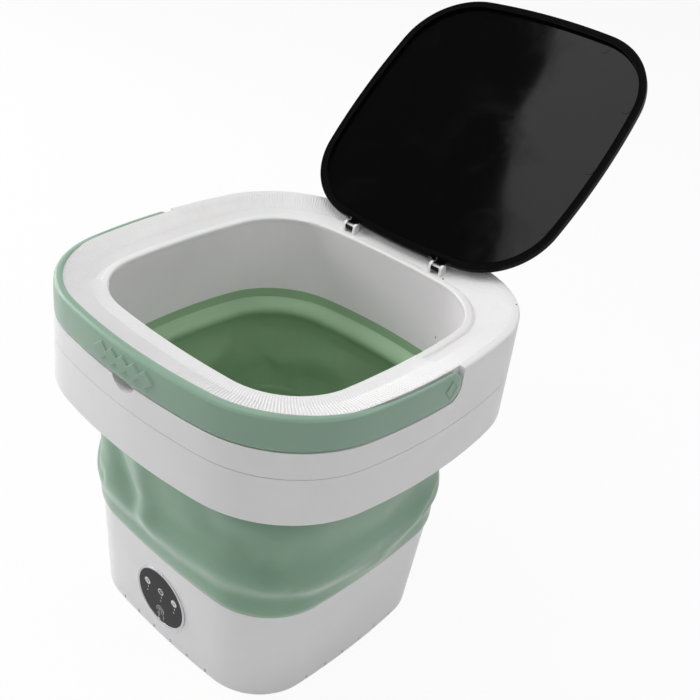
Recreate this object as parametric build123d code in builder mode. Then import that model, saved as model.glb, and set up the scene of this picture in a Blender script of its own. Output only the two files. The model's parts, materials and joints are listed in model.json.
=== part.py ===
from build123d import *
import os
from math import atan2, cos, radians, sin, sqrt, tan

os.makedirs("parts", exist_ok=True)

# Foldable washing machine, unfolded, with its lid open. Sizes in millimetres and
# degrees. The origin is on the floor under the middle of the base, the front with
# the touch panel faces -Y and the lid is hinged at the +Y side.
# An outline is half width, side radius and corner radius of a bowed square.

# Lengths that make a cut run past a wall, or sink one form into another
through = 200.0
overcut = 5.0
wall_cut = 20.0
overlap = 1.0

# Rim, with its heights taken down from the crest
rim_outline = (165.0, 500.0, 97.6)
rim_wall = 2.6
crest_height = 318.9
seam_drop = 47.9
skirt_drop = 88.2
crest_width = 4.6
crest_round = 1.6
seam_gap = 0.5
skirt_flare = 1.0
skirt_tongue = 5.0
skirt_foot_round = 1.1
tongue_gap = 0.1
tongue_wall = 2.0

# Deck round the opening
opening_outline = (122.5, 700.0, 62.5)
bead_width = 7.0
bead_height = 2.0
bead_round = 1.9
deck_drop = 11.3
deck_thickness = 2.6

# Inner collar
collar_foot_outline = (130.0, 420.0, 77.4)
collar_drop = 85.4
collar_wall = 2.4
collar_flange = 20.0
collar_screw_out = 14.5
collar_screw_along = 46.0
collar_boss_radius = 4.2
collar_boss_height = 3.6

# Handle
handle_pivot_drop = 13.1
handle_band = 25.0
handle_thickness = 3.8
handle_gap = 1.2
handle_ledge_gap = 0.9
handle_end_gap = 1.3
handle_proud = 0.2
handle_round = 1.4
handle_stub_radius = 4.0
handle_stub_length = 12.0
running_gap = 0.06
pivot_boss_radius = 8.5
pivot_boss_depth = 6.0
clip_radius = 6.0
clip_thickness = 1.6
grip_count = 5
grip_pitch = 12.4
grip_rise = 1.0
grip_size = (17.4, 15.0)
grip_raise = 0.5
pivot_mark_size = (14.0, 16.8)
notch_radius = 14.0
notch_drop = 20.9
notch_depth = 7.0
notch_wall = 2.2

# Lid
lid_outline = (129.5, 640.0, 69.0)
lid_open_angle = 137.0
lid_border = 6.5
lid_border_depth = 3.5
lid_panel = 2.4
lid_top_border = 9.0
lid_top_border_height = 1.6
lid_round = 2.2
lid_seat_gap = 0.3
hinge_back = 132.5
hinge_drop = 4.5
hinge_spacing = 99.0
hinge_bar_radius = 2.0
hook_radius = 4.2
hook_width = 8.0
hook_mouth = 3.3
ear_gap = 0.3
ear_width = 2.6
ear_radius = 3.6
lid_relief = 3.2
lid_relief_gap = 0.7
ejector_radius = 4.0
ejector_inset = 12.5
ejector_spread = 64.0
ejector_raise = 0.3

# Base housing
base_outline = (124.4, 800.0, 62.5)
base_height = 99.0
base_draft = 3.87
base_wall = 2.5
base_edge_round = 1.6
base_lift = 1.5
ledge_drop = 13.0
ledge_width = 2.6
ledge_thickness = 2.4
column_radius = 4.5
column_height = 22.0
column_spread = 58.0
slit_pitch = 22.0
slit_count = 8
slit_width = 1.6
slit_height = 6.0

# Touch panel in the front of the base
panel_height = 50.3
panel_radius = 28.7
bezel_width = 2.4
bezel_raise = 0.8
bezel_round = 0.6
bezel_shelf = 0.8
panel_sink = 0.4
board_radius = 25.0
board_thickness = 1.6
board_gap = 2.0
post_radius = 2.2
chip_size = 8.0
small_chip_size = (6.0, 4.0)
small_chip_places = ((-13.0, -10.0), (12.0, -12.0))
chip_height = 1.2
key_pitch = 17.5
key_rise = 7.7
key_pad = 5.0
key_pad_height = 1.6

# Bellows, with its outlines at shares of the way from the base up to its straight band
bellows_wall = 2.0
bellows_cuff = 9.0
bellows_band = 9.4
cuff_gap = 0.3
bellows_levels = (
    (0.072, 126.4, 790.0, 63.5),
    (0.176, 126.0, 740.0, 64.5),
    (0.344, 128.6, 650.0, 67.5),
    (0.535, 129.3, 590.0, 70.0),
    (0.728, 128.6, 540.0, 71.5),
    (0.822, 126.4, 500.0, 72.0),
    (0.894, 122.8, 480.0, 70.5),
    (0.944, 125.0, 455.0, 73.5),
)
clamp_height = 12.0
clamp_thickness = 2.4
clamp_gap = 0.9

# Tub pan
tub_floor = 62.0
tub_wall = 2.5
tub_floor_half = 105.5
tub_step_half = 109.5
tub_corner = 46.0
tub_side_radius = 780.0
drive_seat = 3.0
tub_floor_round = 8.0
tub_lip_drop = 1.5
tub_gap = 0.3

# Drive
shaft_radius = 5.0
shaft_bottom = 7.5
shaft_chamfer = 0.5
shaft_clearance = 2.0
shaft_grip = 6.0
bearing_radius = 11.0
bearing_width = 7.0
bearing_barrel = 16.0
bearing_flange = 27.0
bearing_flange_thickness = 4.0
bearing_housing_length = 30.0
bearing_rib = 2.4
seal_radius = 9.5
seal_height = 4.0
impeller_radius = 56.0
impeller_rise = 1.5
impeller_edge = 3.0
impeller_dome = 11.0
dome_middle = (34.0, 5.4)
impeller_fins = 6
impeller_fin_height = 9.0
impeller_fin_width = 5.0
impeller_fin_inset = 3.0
impeller_hole_radius = 2.5
impeller_hole_place = 40.0
impeller_screw_sink = 2.4
hub_radius = 13.0
pulley_radius = 38.0
pulley_width = 8.0
pulley_bottom = 12.0
pulley_rim = 3.0
pulley_web = 2.6
pulley_flange = 1.5
pulley_flange_width = 0.9
pulley_holes = 6
pulley_hole_radius = 6.5
pulley_hole_place = 23.5
pulley_hub_radius = 10.0
pulley_hub_raise = 1.0
nut_radius = 8.2
belt_width = 6.0
belt_thickness = 1.4
belt_gap = 0.3
motor_offset = 74.0
motor_radius = 18.0
motor_height = 32.0
motor_round = 2.0
motor_can_wall = 2.5
motor_core_gap = 1.0
motor_core_inset = 5.0
motor_shaft_bottom = 10.0
motor_plate_height = 23.0
motor_plate = 2.4
motor_shaft_radius = 1.6
motor_pulley_radius = 7.0
motor_boss_radius = 6.0
motor_posts = (48.0, 30.0)
motor_post_radius = 3.6
motor_plate_margin = 6.0

# Drain and power inlet in the back of the base
drain_side = -46.0
drain_height = 71.0
spigot_radius = 8.0
spigot_bore = 6.0
spigot_flange = 10.5
spigot_flange_thickness = 2.4
plug_length = 14.0
plug_head = 9.0
plug_head_thickness = 3.2
plug_round = 1.0
plug_tab = 5.0
plug_tab_width = 2.4
jack_side = 46.0
jack_height = 24.0
jack_radius = 6.5
jack_flange = 8.5
jack_flange_thickness = 1.6
jack_bore = 3.1
jack_depth = 10.0
jack_back = 4.0
jack_pin = 1.05

# Bottom
cover_height = 2.6
cover_thickness = 2.4
cover_gap = 0.4
vent_count = 7
vent_pitch = 9.0
vent_length = 46.0
vent_width = 3.4
foot_radius = 9.0
foot_spread = 78.0
foot_socket = 1.0
foot_chamfer = 0.8
screw_radius = 1.5
screw_head_radius = 3.0
screw_head = 1.8
screw_length = 12.0
screw_gap = 0.1


def inset(outline, distance):
    return tuple(value - distance for value in outline)


def corner_centre(half, side_radius, corner_radius):
    # The corner arc lies inside both side arcs and shares a tangent with each.
    offset = half - side_radius
    reach = side_radius - corner_radius
    return (offset + sqrt(2 * reach**2 - offset**2)) / 2


def side_reach(outline, along):
    # How far out the side stands, at this distance from its middle.
    half, side_radius, corner_radius = outline
    return half - side_radius + sqrt(side_radius**2 - along**2)


def base_at(height, depth=0.0):
    # The base narrows towards the floor by its draft angle.
    return inset(base_outline, (base_height - height) * tan(radians(base_draft)) + depth)


class BowedSquare(BaseSketchObject):
    # Four wide side arcs joined by four corner arcs.
    def __init__(self, half, side_radius, corner_radius, mode=Mode.ADD):
        corner = corner_centre(half, side_radius, corner_radius)
        offset = half - side_radius
        join = atan2(corner, corner - offset)
        joint = (offset + side_radius * cos(join), side_radius * sin(join))
        peak = corner + corner_radius / sqrt(2)
        side = [Vector(joint[0], -joint[1]), Vector(half, 0), Vector(*joint)]
        turn = [Vector(*joint), Vector(peak, peak), Vector(joint[1], joint[0])]
        with BuildSketch() as profile:
            with BuildLine():
                for angle in range(0, 360, 90):
                    ThreePointArc(*[point.rotate(Axis.Z, angle) for point in side])
                    ThreePointArc(*[point.rotate(Axis.Z, angle) for point in turn])
            make_face()
        super().__init__(profile.sketch, 0, None, mode)


def slab(low_outline, low, high_outline, high, mode=Mode.ADD):
    # A body between two outlines at two heights, for use inside a part.
    with BuildSketch(Plane.XY.offset(low)) as low_sketch:
        BowedSquare(*low_outline)
    with BuildSketch(Plane.XY.offset(high)) as high_sketch:
        BowedSquare(*high_outline)
    loft([low_sketch.sketch.face(), high_sketch.sketch.face()], ruled=True, mode=mode)


def finish(part, name):
    part.label = name
    export_step(part, f"parts/{name}.step")


seam_height = crest_height - seam_drop
skirt_bottom = crest_height - skirt_drop
deck_low = crest_height - deck_drop
collar_foot_height = crest_height - collar_drop
handle_pivot_height = crest_height - handle_pivot_drop
notch_height = crest_height - notch_drop
ledge_height = base_height - ledge_drop
tub_lip_top = base_height - tub_lip_drop

# The deck falls from the crest to the bead, and its underside follows it.
deck_top_outline = inset(rim_outline, crest_width)
bead_outline = inset(opening_outline, -bead_width)
recess_outline = inset(rim_outline, handle_thickness + handle_gap)
seam_flare = skirt_flare * (crest_height - seam_height) / (crest_height - skirt_bottom)
seam_outline = inset(rim_outline, -seam_flare)
skirt_outline = inset(rim_outline, -skirt_flare)
handle_top = handle_pivot_height + handle_band / 2
handle_bottom = handle_pivot_height - handle_band / 2
recess_floor = handle_bottom - handle_ledge_gap
inner_wall_outline = inset(recess_outline, rim_wall)
lip_height = deck_low - deck_thickness
bead_top = deck_low + bead_height
lid_seat = bead_top + lid_seat_gap
hinge_height = lid_seat + hinge_drop


# Recess for the handle: round about each pivot and open to the top and the front.
with BuildPart() as handle_recess:
    with BuildSketch(Plane.XY.offset(recess_floor)):
        BowedSquare(*inset(rim_outline, -overcut))
        BowedSquare(*recess_outline, mode=Mode.SUBTRACT)
    extrude(amount=crest_height - recess_floor + overcut)
    end_radius = handle_band / 2 + handle_end_gap
    with BuildSketch(Plane.YZ):
        with Locations((0, handle_pivot_height)):
            Circle(end_radius)
        with Locations((0, recess_floor)):
            Rectangle(through, through, align=(Align.MAX, Align.MIN))
            Rectangle(end_radius, through, align=(Align.MIN, Align.MIN))
        with Locations((end_radius / 2, recess_floor)):
            Rectangle(end_radius, handle_pivot_height - recess_floor, align=(Align.CENTER, Align.MIN),
                      mode=Mode.SUBTRACT)
        with Locations((0, handle_pivot_height)):
            Circle(end_radius)
    extrude(amount=through, both=True, mode=Mode.INTERSECT)

# Hollow under the deck, between the outer wall and the lip of the opening.
with BuildPart() as rim_hollow:
    deck_slope = (crest_height - deck_low) / (deck_top_outline[0] - bead_outline[0])
    hollow_top = crest_height - deck_thickness - (deck_top_outline[0] - inner_wall_outline[0]) * deck_slope
    with BuildSketch(Plane.XY.offset(seam_height - overcut)):
        BowedSquare(*inner_wall_outline)
    extrude(amount=hollow_top - seam_height + overcut)
    slab(bead_outline, lip_height, inner_wall_outline, hollow_top, mode=Mode.SUBTRACT)
    with BuildSketch(Plane.XY.offset(lip_height)):
        BowedSquare(*bead_outline)
    extrude(amount=through, mode=Mode.SUBTRACT)
    with BuildSketch(Plane.XY.offset(seam_height - overcut)):
        BowedSquare(*inset(rim_outline, rim_wall))
    extrude(amount=recess_floor - rim_wall - seam_height + overcut)

with BuildPart() as rim_frame:
    slab(seam_outline, seam_height, rim_outline, crest_height)
    fillet(rim_frame.edges().group_by(Axis.Z)[-1], crest_round)
    slab(bead_outline, deck_low, deck_top_outline, crest_height, mode=Mode.SUBTRACT)
    with BuildSketch(Plane.XY.offset(deck_low)):
        BowedSquare(*bead_outline)
        BowedSquare(*opening_outline, mode=Mode.SUBTRACT)
    extrude(amount=bead_height)
    add(rim_hollow.part, mode=Mode.SUBTRACT)
    with BuildSketch(Plane.XY.offset(seam_height)):
        BowedSquare(*opening_outline)
    extrude(amount=through, mode=Mode.SUBTRACT)
    fillet(rim_frame.edges().filter_by_position(Axis.Z, bead_top - 0.01, bead_top + 0.01), bead_round)
    # Pocket for the fingers, behind and below the middle of the handle.
    with BuildSketch(Plane.XZ.offset(side_reach(rim_outline, 0) - notch_depth - notch_wall)):
        with Locations((0, notch_height)):
            Circle(notch_radius + notch_wall)
    extrude(until=Until.NEXT)
    add(handle_recess.part, mode=Mode.SUBTRACT)
    with BuildSketch(Plane.XZ.offset(side_reach(rim_outline, 0) - notch_depth)):
        with Locations((0, notch_height)):
            Circle(notch_radius)
        with Locations((0, handle_pivot_height)):
            Rectangle(4 * notch_radius, 2 * (handle_pivot_height - recess_floor), mode=Mode.SUBTRACT)
    extrude(amount=wall_cut, mode=Mode.SUBTRACT)
    # Bosses and bores for the handle's stubs.
    for side in (-1, 1):
        with BuildSketch(Plane.YZ.offset(side * (inner_wall_outline[0] - pivot_boss_depth))):
            with Locations((0, handle_pivot_height)):
                Circle(pivot_boss_radius)
        extrude(amount=side * (pivot_boss_depth + overlap))
        with BuildSketch(Plane.YZ.offset(side * (inner_wall_outline[0] - pivot_boss_depth))):
            with Locations((0, handle_pivot_height)):
                Circle(handle_stub_radius + running_gap)
        extrude(amount=side * wall_cut, mode=Mode.SUBTRACT)
    # Hinge ears with a bar between each pair.
    for side in (-1, 1):
        middle = side * hinge_spacing / 2
        for ear in (-1, 1):
            with BuildSketch(Plane.YZ.offset(middle + ear * (hook_width / 2 + ear_gap + ear_width / 2))):
                with Locations((hinge_back, hinge_height)):
                    Circle(ear_radius)
                    Rectangle(2 * ear_radius, hinge_height - deck_low + overlap, align=(Align.CENTER, Align.MAX))
            extrude(amount=ear_width / 2, both=True)
        with BuildSketch(Plane.YZ.offset(middle)):
            with Locations((hinge_back, hinge_height)):
                Circle(hinge_bar_radius)
        extrude(amount=hook_width / 2 + ear_gap + ear_width / 2, both=True)
    # Bosses under the deck for the collar's screws.
    collar_screw_reach = opening_outline[0] + collar_screw_out
    collar_screw_points = [(x * collar_screw_reach, y * collar_screw_along)
                           for x in (-1, 1) for y in (-1, 1)]
    collar_screw_points += [(y, x) for x, y in collar_screw_points]
    with BuildSketch(Plane.XY.offset(lip_height)):
        with Locations(*collar_screw_points):
            Circle(collar_boss_radius)
    extrude(amount=collar_boss_height)
    with BuildSketch(Plane.XY.offset(lip_height)):
        with Locations(*collar_screw_points):
            Circle(screw_radius + screw_gap)
    extrude(amount=collar_boss_height, mode=Mode.SUBTRACT)
finish(rim_frame.part, "rim_frame")

with BuildPart() as rim_skirt:
    slab(skirt_outline, skirt_bottom, seam_outline, seam_height - seam_gap)
    slab(inset(skirt_outline, rim_wall), skirt_bottom,
         inset(seam_outline, rim_wall), seam_height - seam_gap, mode=Mode.SUBTRACT)
    fillet(rim_skirt.edges().group_by(Axis.Z)[0], skirt_foot_round)
    tongue_outline = inset(rim_outline, rim_wall + tongue_gap)
    with BuildSketch(Plane.XY.offset(seam_height - seam_gap - skirt_tongue)):
        BowedSquare(*inset(seam_outline, rim_wall / 2))
        BowedSquare(*inset(tongue_outline, tongue_wall), mode=Mode.SUBTRACT)
    extrude(amount=skirt_tongue)
    with BuildSketch(Plane.XY.offset(seam_height - seam_gap)):
        BowedSquare(*tongue_outline)
        BowedSquare(*inset(tongue_outline, tongue_wall), mode=Mode.SUBTRACT)
    extrude(amount=skirt_tongue)
finish(rim_skirt.part, "rim_skirt")

with BuildPart() as inner_collar:
    slab(inset(collar_foot_outline, -collar_wall), collar_foot_height,
         inset(opening_outline, -collar_wall), lip_height)
    with BuildSketch(Plane.XY.offset(lip_height)):
        BowedSquare(*inset(opening_outline, -collar_flange))
        with Locations(*collar_screw_points):
            Circle(screw_radius + screw_gap, mode=Mode.SUBTRACT)
    extrude(amount=-collar_wall)
    slab(collar_foot_outline, collar_foot_height, opening_outline, lip_height, mode=Mode.SUBTRACT)
finish(inner_collar.part, "inner_collar")

with BuildPart() as collar_screws:
    with BuildSketch(Plane.XY.offset(lip_height - collar_wall)):
        with Locations(*collar_screw_points):
            Circle(screw_head_radius)
    extrude(amount=-screw_head)
    with BuildSketch(Plane.XY.offset(lip_height - collar_wall)):
        with Locations(*collar_screw_points):
            Circle(screw_radius)
    extrude(amount=collar_wall + collar_boss_height - screw_gap)
finish(collar_screws.part, "collar_screws")

with BuildPart() as bellows_clamp:
    clamp_outline = inset(collar_foot_outline, -collar_wall - clamp_gap)
    with BuildSketch(Plane.XY.offset(collar_foot_height - clamp_height / 2)):
        BowedSquare(*inset(clamp_outline, -clamp_thickness))
        BowedSquare(*clamp_outline, mode=Mode.SUBTRACT)
    extrude(amount=clamp_height)
finish(bellows_clamp.part, "bellows_clamp")


def stack(levels, mode=Mode.ADD):
    # A smooth body through outlines at rising heights.
    faces = []
    for height, *outline in levels:
        with BuildSketch(Plane.XY.offset(height)) as level:
            BowedSquare(*outline)
        faces.append(level.sketch.face())
    loft(faces, mode=mode)


cuff_low = base_height - bellows_cuff
bellows_foot = (base_height, *base_outline)
bellows_head = inset(collar_foot_outline, -bellows_wall)
band_low = collar_foot_height - bellows_band
bellows_rise = band_low - base_height
outside_levels = [(base_height + share * bellows_rise, *outline) for share, *outline in bellows_levels]
outside_levels = [bellows_foot, *outside_levels, (band_low, *bellows_head)]
inside_levels = [(height, *inset(outline, bellows_wall)) for height, *outline in outside_levels]
with BuildPart() as bellows:
    stack(outside_levels)
    stack(inside_levels, mode=Mode.SUBTRACT)
    with BuildSketch(Plane.XY.offset(band_low)):
        BowedSquare(*bellows_head)
        BowedSquare(*inset(bellows_head, bellows_wall), mode=Mode.SUBTRACT)
    extrude(amount=bellows_band)
    with BuildSketch(Plane.XY.offset(base_height)):
        BowedSquare(*inset(base_outline, bellows_wall / 2))
        BowedSquare(*base_at(cuff_low, base_wall + cuff_gap + bellows_wall), mode=Mode.SUBTRACT)
    extrude(amount=bellows_wall)
    with BuildSketch(Plane.XY.offset(cuff_low)):
        BowedSquare(*base_at(cuff_low, base_wall + cuff_gap))
        BowedSquare(*base_at(cuff_low, base_wall + cuff_gap + bellows_wall), mode=Mode.SUBTRACT)
    extrude(amount=bellows_cuff)
finish(bellows.part, "bellows")


# Raised marks on the handle: overlapping rhombi at the grip, one at each pivot.
with BuildPart() as grip_marks:
    with BuildSketch(Plane.XY.offset(handle_bottom)):
        BowedSquare(*inset(rim_outline, -handle_proud - grip_raise))
        BowedSquare(*inset(rim_outline, handle_thickness / 2), mode=Mode.SUBTRACT)
    extrude(amount=handle_band)
    with BuildSketch(Plane.XZ):
        with Locations((0, handle_pivot_height + grip_rise)):
            with GridLocations(grip_pitch, 1, grip_count, 1):
                Polygon((-grip_size[0] / 2, 0), (0, -grip_size[1] / 2), (grip_size[0] / 2, 0),
                        (0, grip_size[1] / 2))
    extrude(amount=through, mode=Mode.INTERSECT)

with BuildPart() as pivot_marks:
    with BuildSketch(Plane.XY.offset(handle_bottom)):
        BowedSquare(*inset(rim_outline, -handle_proud - grip_raise))
        BowedSquare(*inset(rim_outline, handle_thickness / 2), mode=Mode.SUBTRACT)
    extrude(amount=handle_band)
    with BuildSketch(Plane.YZ):
        with Locations((0, handle_pivot_height)):
            Polygon((-pivot_mark_size[0] / 2, 0), (0, -pivot_mark_size[1] / 2),
                    (pivot_mark_size[0] / 2, 0), (0, pivot_mark_size[1] / 2))
    extrude(amount=through, both=True, mode=Mode.INTERSECT)

handle_inner = inset(rim_outline, handle_thickness - handle_proud)
with BuildPart() as handle:
    with BuildSketch(Plane.XY.offset(handle_bottom)):
        BowedSquare(*inset(rim_outline, -handle_proud))
        BowedSquare(*handle_inner, mode=Mode.SUBTRACT)
    extrude(amount=handle_band)
    with BuildSketch(Plane.YZ):
        with Locations((0, handle_pivot_height)):
            Circle(handle_band / 2)
            Rectangle(through, handle_band, align=(Align.MAX, Align.CENTER))
    extrude(amount=through, both=True, mode=Mode.INTERSECT)
    fillet(handle.edges().group_by(Axis.Z)[0] + handle.edges().group_by(Axis.Z)[-1], handle_round)
    add(grip_marks.part)
    add(pivot_marks.part)
    for side in (-1, 1):
        with BuildSketch(Plane.YZ.offset(side * (handle_inner[0] + handle_thickness / 2))):
            with Locations((0, handle_pivot_height)):
                Circle(handle_stub_radius)
        extrude(amount=-side * (handle_stub_length + handle_thickness / 2))
finish(handle.part, "handle")

clip_place = inner_wall_outline[0] - pivot_boss_depth - clip_thickness - screw_gap
with BuildPart() as handle_clips:
    for side in (-1, 1):
        with BuildSketch(Plane.YZ.offset(side * clip_place)):
            with Locations((0, handle_pivot_height)):
                Circle(clip_radius)
                Circle(handle_stub_radius + running_gap, mode=Mode.SUBTRACT)
        extrude(amount=side * clip_thickness)
finish(handle_clips.part, "handle_clips")


# The lid is drawn closed on its own plane, which leans back about the hinge bar.
lean = radians(lid_open_angle)
lid_plane = Plane(origin=(0, hinge_back, hinge_height), x_dir=(1, 0, 0), z_dir=(0, sin(lean), cos(lean)))
lid_axis = Axis(lid_plane.origin, lid_plane.z_dir)
lid_under = lid_border_depth - hinge_drop
lid_over = lid_under + lid_panel
ejector_outline = inset(lid_outline, ejector_inset)
ejector_reach = side_reach(ejector_outline, ejector_spread)
ejector_points = [(side * ejector_outline[0], 0) for side in (-1, 1)]
ejector_points += [(side * ejector_reach, end * ejector_spread) for side in (-1, 1) for end in (-1, 1)]
ejector_points += [(y, x) for x, y in ejector_points]
with BuildPart() as lid:
    with BuildSketch(lid_plane.offset(-hinge_drop)):
        with Locations((0, -hinge_back)):
            BowedSquare(*lid_outline)
    extrude(amount=lid_over + lid_top_border_height + hinge_drop)
    fillet(lid.edges().group_by(lid_axis)[-1], lid_round)
    with BuildSketch(lid_plane.offset(-hinge_drop)):
        with Locations((0, -hinge_back)):
            BowedSquare(*inset(lid_outline, lid_border))
    extrude(amount=lid_border_depth, mode=Mode.SUBTRACT)
    with BuildSketch(lid_plane.offset(lid_over)):
        with Locations((0, -hinge_back)):
            BowedSquare(*inset(lid_outline, lid_top_border))
    extrude(amount=lid_top_border_height, mode=Mode.SUBTRACT)
    with BuildSketch(lid_plane.offset(lid_under)):
        with Locations(*[(x, y - hinge_back) for x, y in ejector_points]):
            Circle(ejector_radius)
    extrude(amount=-ejector_raise)
    # Reliefs that clear the ears, and a hook in each that snaps over its bar.
    edge = -(hinge_back - lid_outline[0])
    relief_width = hook_width + 2 * (ear_gap + ear_width + lid_relief_gap)
    with BuildSketch(lid_plane.offset(-hinge_drop)):
        with Locations((-hinge_spacing / 2, edge), (hinge_spacing / 2, edge)):
            Rectangle(relief_width, 2 * lid_relief)
    extrude(amount=wall_cut, mode=Mode.SUBTRACT)
    for side in (-1, 1):
        hook_plane = Plane(origin=lid_plane.from_local_coords((side * hinge_spacing / 2, 0, 0)),
                           x_dir=lid_plane.y_dir, z_dir=lid_plane.x_dir)
        with BuildSketch(hook_plane):
            Circle(hook_radius)
            with Locations((edge - lid_relief - overlap, lid_under)):
                Rectangle(lid_relief - edge + overlap, lid_panel, align=(Align.MIN, Align.MIN))
            Circle(hinge_bar_radius + running_gap, mode=Mode.SUBTRACT)
            Rectangle(hook_mouth, 2 * hook_radius, align=(Align.CENTER, Align.MAX), mode=Mode.SUBTRACT)
        extrude(amount=hook_width / 2, both=True)
finish(lid.part, "lid")


# Base, with the touch panel's opening in its front.
panel_plane = Plane(origin=(0, -base_at(panel_height)[0], panel_height), x_dir=(1, 0, 0),
                    z_dir=(0, -cos(radians(base_draft)), -sin(radians(base_draft))))
bezel_radius = panel_radius + bezel_width
cover_top = cover_height + cover_thickness
column_reach = side_reach(base_at(cover_top, base_wall), column_spread) - column_radius + base_wall / 2
column_points = [(x * column_reach, y * column_spread) for x in (-1, 1) for y in (-1, 1)]
column_points += [(y, x) for x, y in column_points]
drain_seat = side_reach(base_at(drain_height + spigot_flange), abs(drain_side) - spigot_flange)
jack_seat = side_reach(base_at(jack_height + jack_flange), abs(jack_side) - jack_flange)


def back_plane(distance):
    # Sketches on the back wall face outwards, with X to the left seen from behind.
    return Plane(origin=(0, distance, 0), x_dir=(-1, 0, 0), z_dir=(0, 1, 0))


with BuildPart() as base_housing:
    slab(base_at(base_lift), base_lift, base_outline, base_height)
    fillet(base_housing.edges().group_by(Axis.Z)[0], base_edge_round)
    for pad_radius, seat, place in ((spigot_flange + 1, drain_seat, (-drain_side, drain_height)),
                                    (jack_flange + 1, jack_seat, (-jack_side, jack_height))):
        with BuildSketch(back_plane(seat)):
            with Locations(place):
                Circle(pad_radius)
        extrude(amount=-base_wall - overlap)
    slab(base_at(base_lift, base_wall), base_lift, inset(base_outline, base_wall), base_height,
         mode=Mode.SUBTRACT)
    with BuildSketch(Plane.XY.offset(ledge_height - ledge_thickness)):
        BowedSquare(*base_at(ledge_height, base_wall / 2))
        BowedSquare(*base_at(ledge_height, base_wall + ledge_width), mode=Mode.SUBTRACT)
    extrude(amount=ledge_thickness)
    with BuildSketch(Plane.XY.offset(cover_top)):
        with Locations(*column_points):
            Circle(column_radius)
            Circle(screw_radius + screw_gap, mode=Mode.SUBTRACT)
    extrude(amount=column_height)
    with BuildSketch(panel_plane.offset(-base_wall - overlap)):
        Circle(bezel_radius + screw_gap)
    extrude(amount=wall_cut, mode=Mode.SUBTRACT)
    with BuildSketch(back_plane(drain_seat + overcut)):
        with Locations((-drain_side, drain_height)):
            Circle(spigot_radius + screw_gap)
        with Locations((-jack_side, jack_height)):
            Circle(jack_radius + screw_gap)
    extrude(amount=-wall_cut, mode=Mode.SUBTRACT)
    # Short drain slits along the bottom edge of each side.
    for angle in range(0, 360, 90):
        with Locations(Location((0, 0, base_lift), (0, 0, angle))):
            with Locations((0, base_at(base_lift)[0], 0)):
                with GridLocations(slit_pitch, 1, slit_count, 1):
                    Box(slit_width, 4 * base_wall, 2 * slit_height, mode=Mode.SUBTRACT)
finish(base_housing.part, "base_housing")

with BuildPart() as panel_bezel:
    with BuildSketch(panel_plane.offset(bezel_raise)):
        Circle(bezel_radius)
        Circle(panel_radius + screw_gap, mode=Mode.SUBTRACT)
    extrude(amount=-bezel_raise - base_wall + screw_gap)
    fillet(panel_bezel.faces().sort_by(Axis(panel_plane.origin, panel_plane.z_dir))[-1].edges(), bezel_round)
    with BuildSketch(panel_plane.offset(-base_wall + screw_gap)):
        Circle(bezel_radius)
        Circle(board_radius - 2 * post_radius, mode=Mode.SUBTRACT)
    extrude(amount=bezel_shelf)
    with BuildSketch(panel_plane.offset(-base_wall + screw_gap)):
        with PolarLocations(board_radius - post_radius, 4, start_angle=45):
            Circle(post_radius)
    extrude(amount=-board_gap)
finish(panel_bezel.part, "panel_bezel")

with BuildPart() as touch_panel:
    with BuildSketch(panel_plane.offset(bezel_shelf - base_wall + screw_gap)):
        Circle(panel_radius)
    extrude(amount=base_wall - screw_gap - bezel_shelf + bezel_raise - panel_sink)
finish(touch_panel.part, "touch_panel")

board_front = -base_wall + screw_gap - board_gap
with BuildPart() as control_board:
    with BuildSketch(panel_plane.offset(board_front)):
        Circle(board_radius)
    extrude(amount=-board_thickness)
    with BuildSketch(panel_plane.offset(board_front - board_thickness)):
        Rectangle(chip_size, chip_size)
        with Locations(*small_chip_places):
            Rectangle(*small_chip_size)
    extrude(amount=-chip_height)
    with BuildSketch(panel_plane.offset(board_front)):
        with Locations((0, key_rise)):
            with GridLocations(key_pitch, 1, 3, 1):
                Rectangle(key_pad, key_pad)
    extrude(amount=key_pad_height)
finish(control_board.part, "control_board")


# Tub pan, carried on the ledge of the base, with a raised seat for the drive.
tub_floor_outline = (tub_floor_half, tub_side_radius, tub_corner)
tub_step_outline = inset(tub_floor_outline, tub_floor_half - tub_step_half)
tub_lip_outline = base_at(cuff_low, base_wall + cuff_gap + bellows_wall + tub_gap)
flange_top = ledge_height + ledge_thickness
floor_under = tub_floor - tub_wall
seat_top = tub_floor + drive_seat
can_bottom = motor_plate_height + motor_plate
bearing_screw_radius = (bearing_barrel + bearing_flange) / 2
with BuildPart() as tub_inside:
    slab(tub_floor_outline, tub_floor, tub_step_outline, flange_top)
    fillet(tub_inside.edges().group_by(Axis.Z)[0], tub_floor_round)

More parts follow.
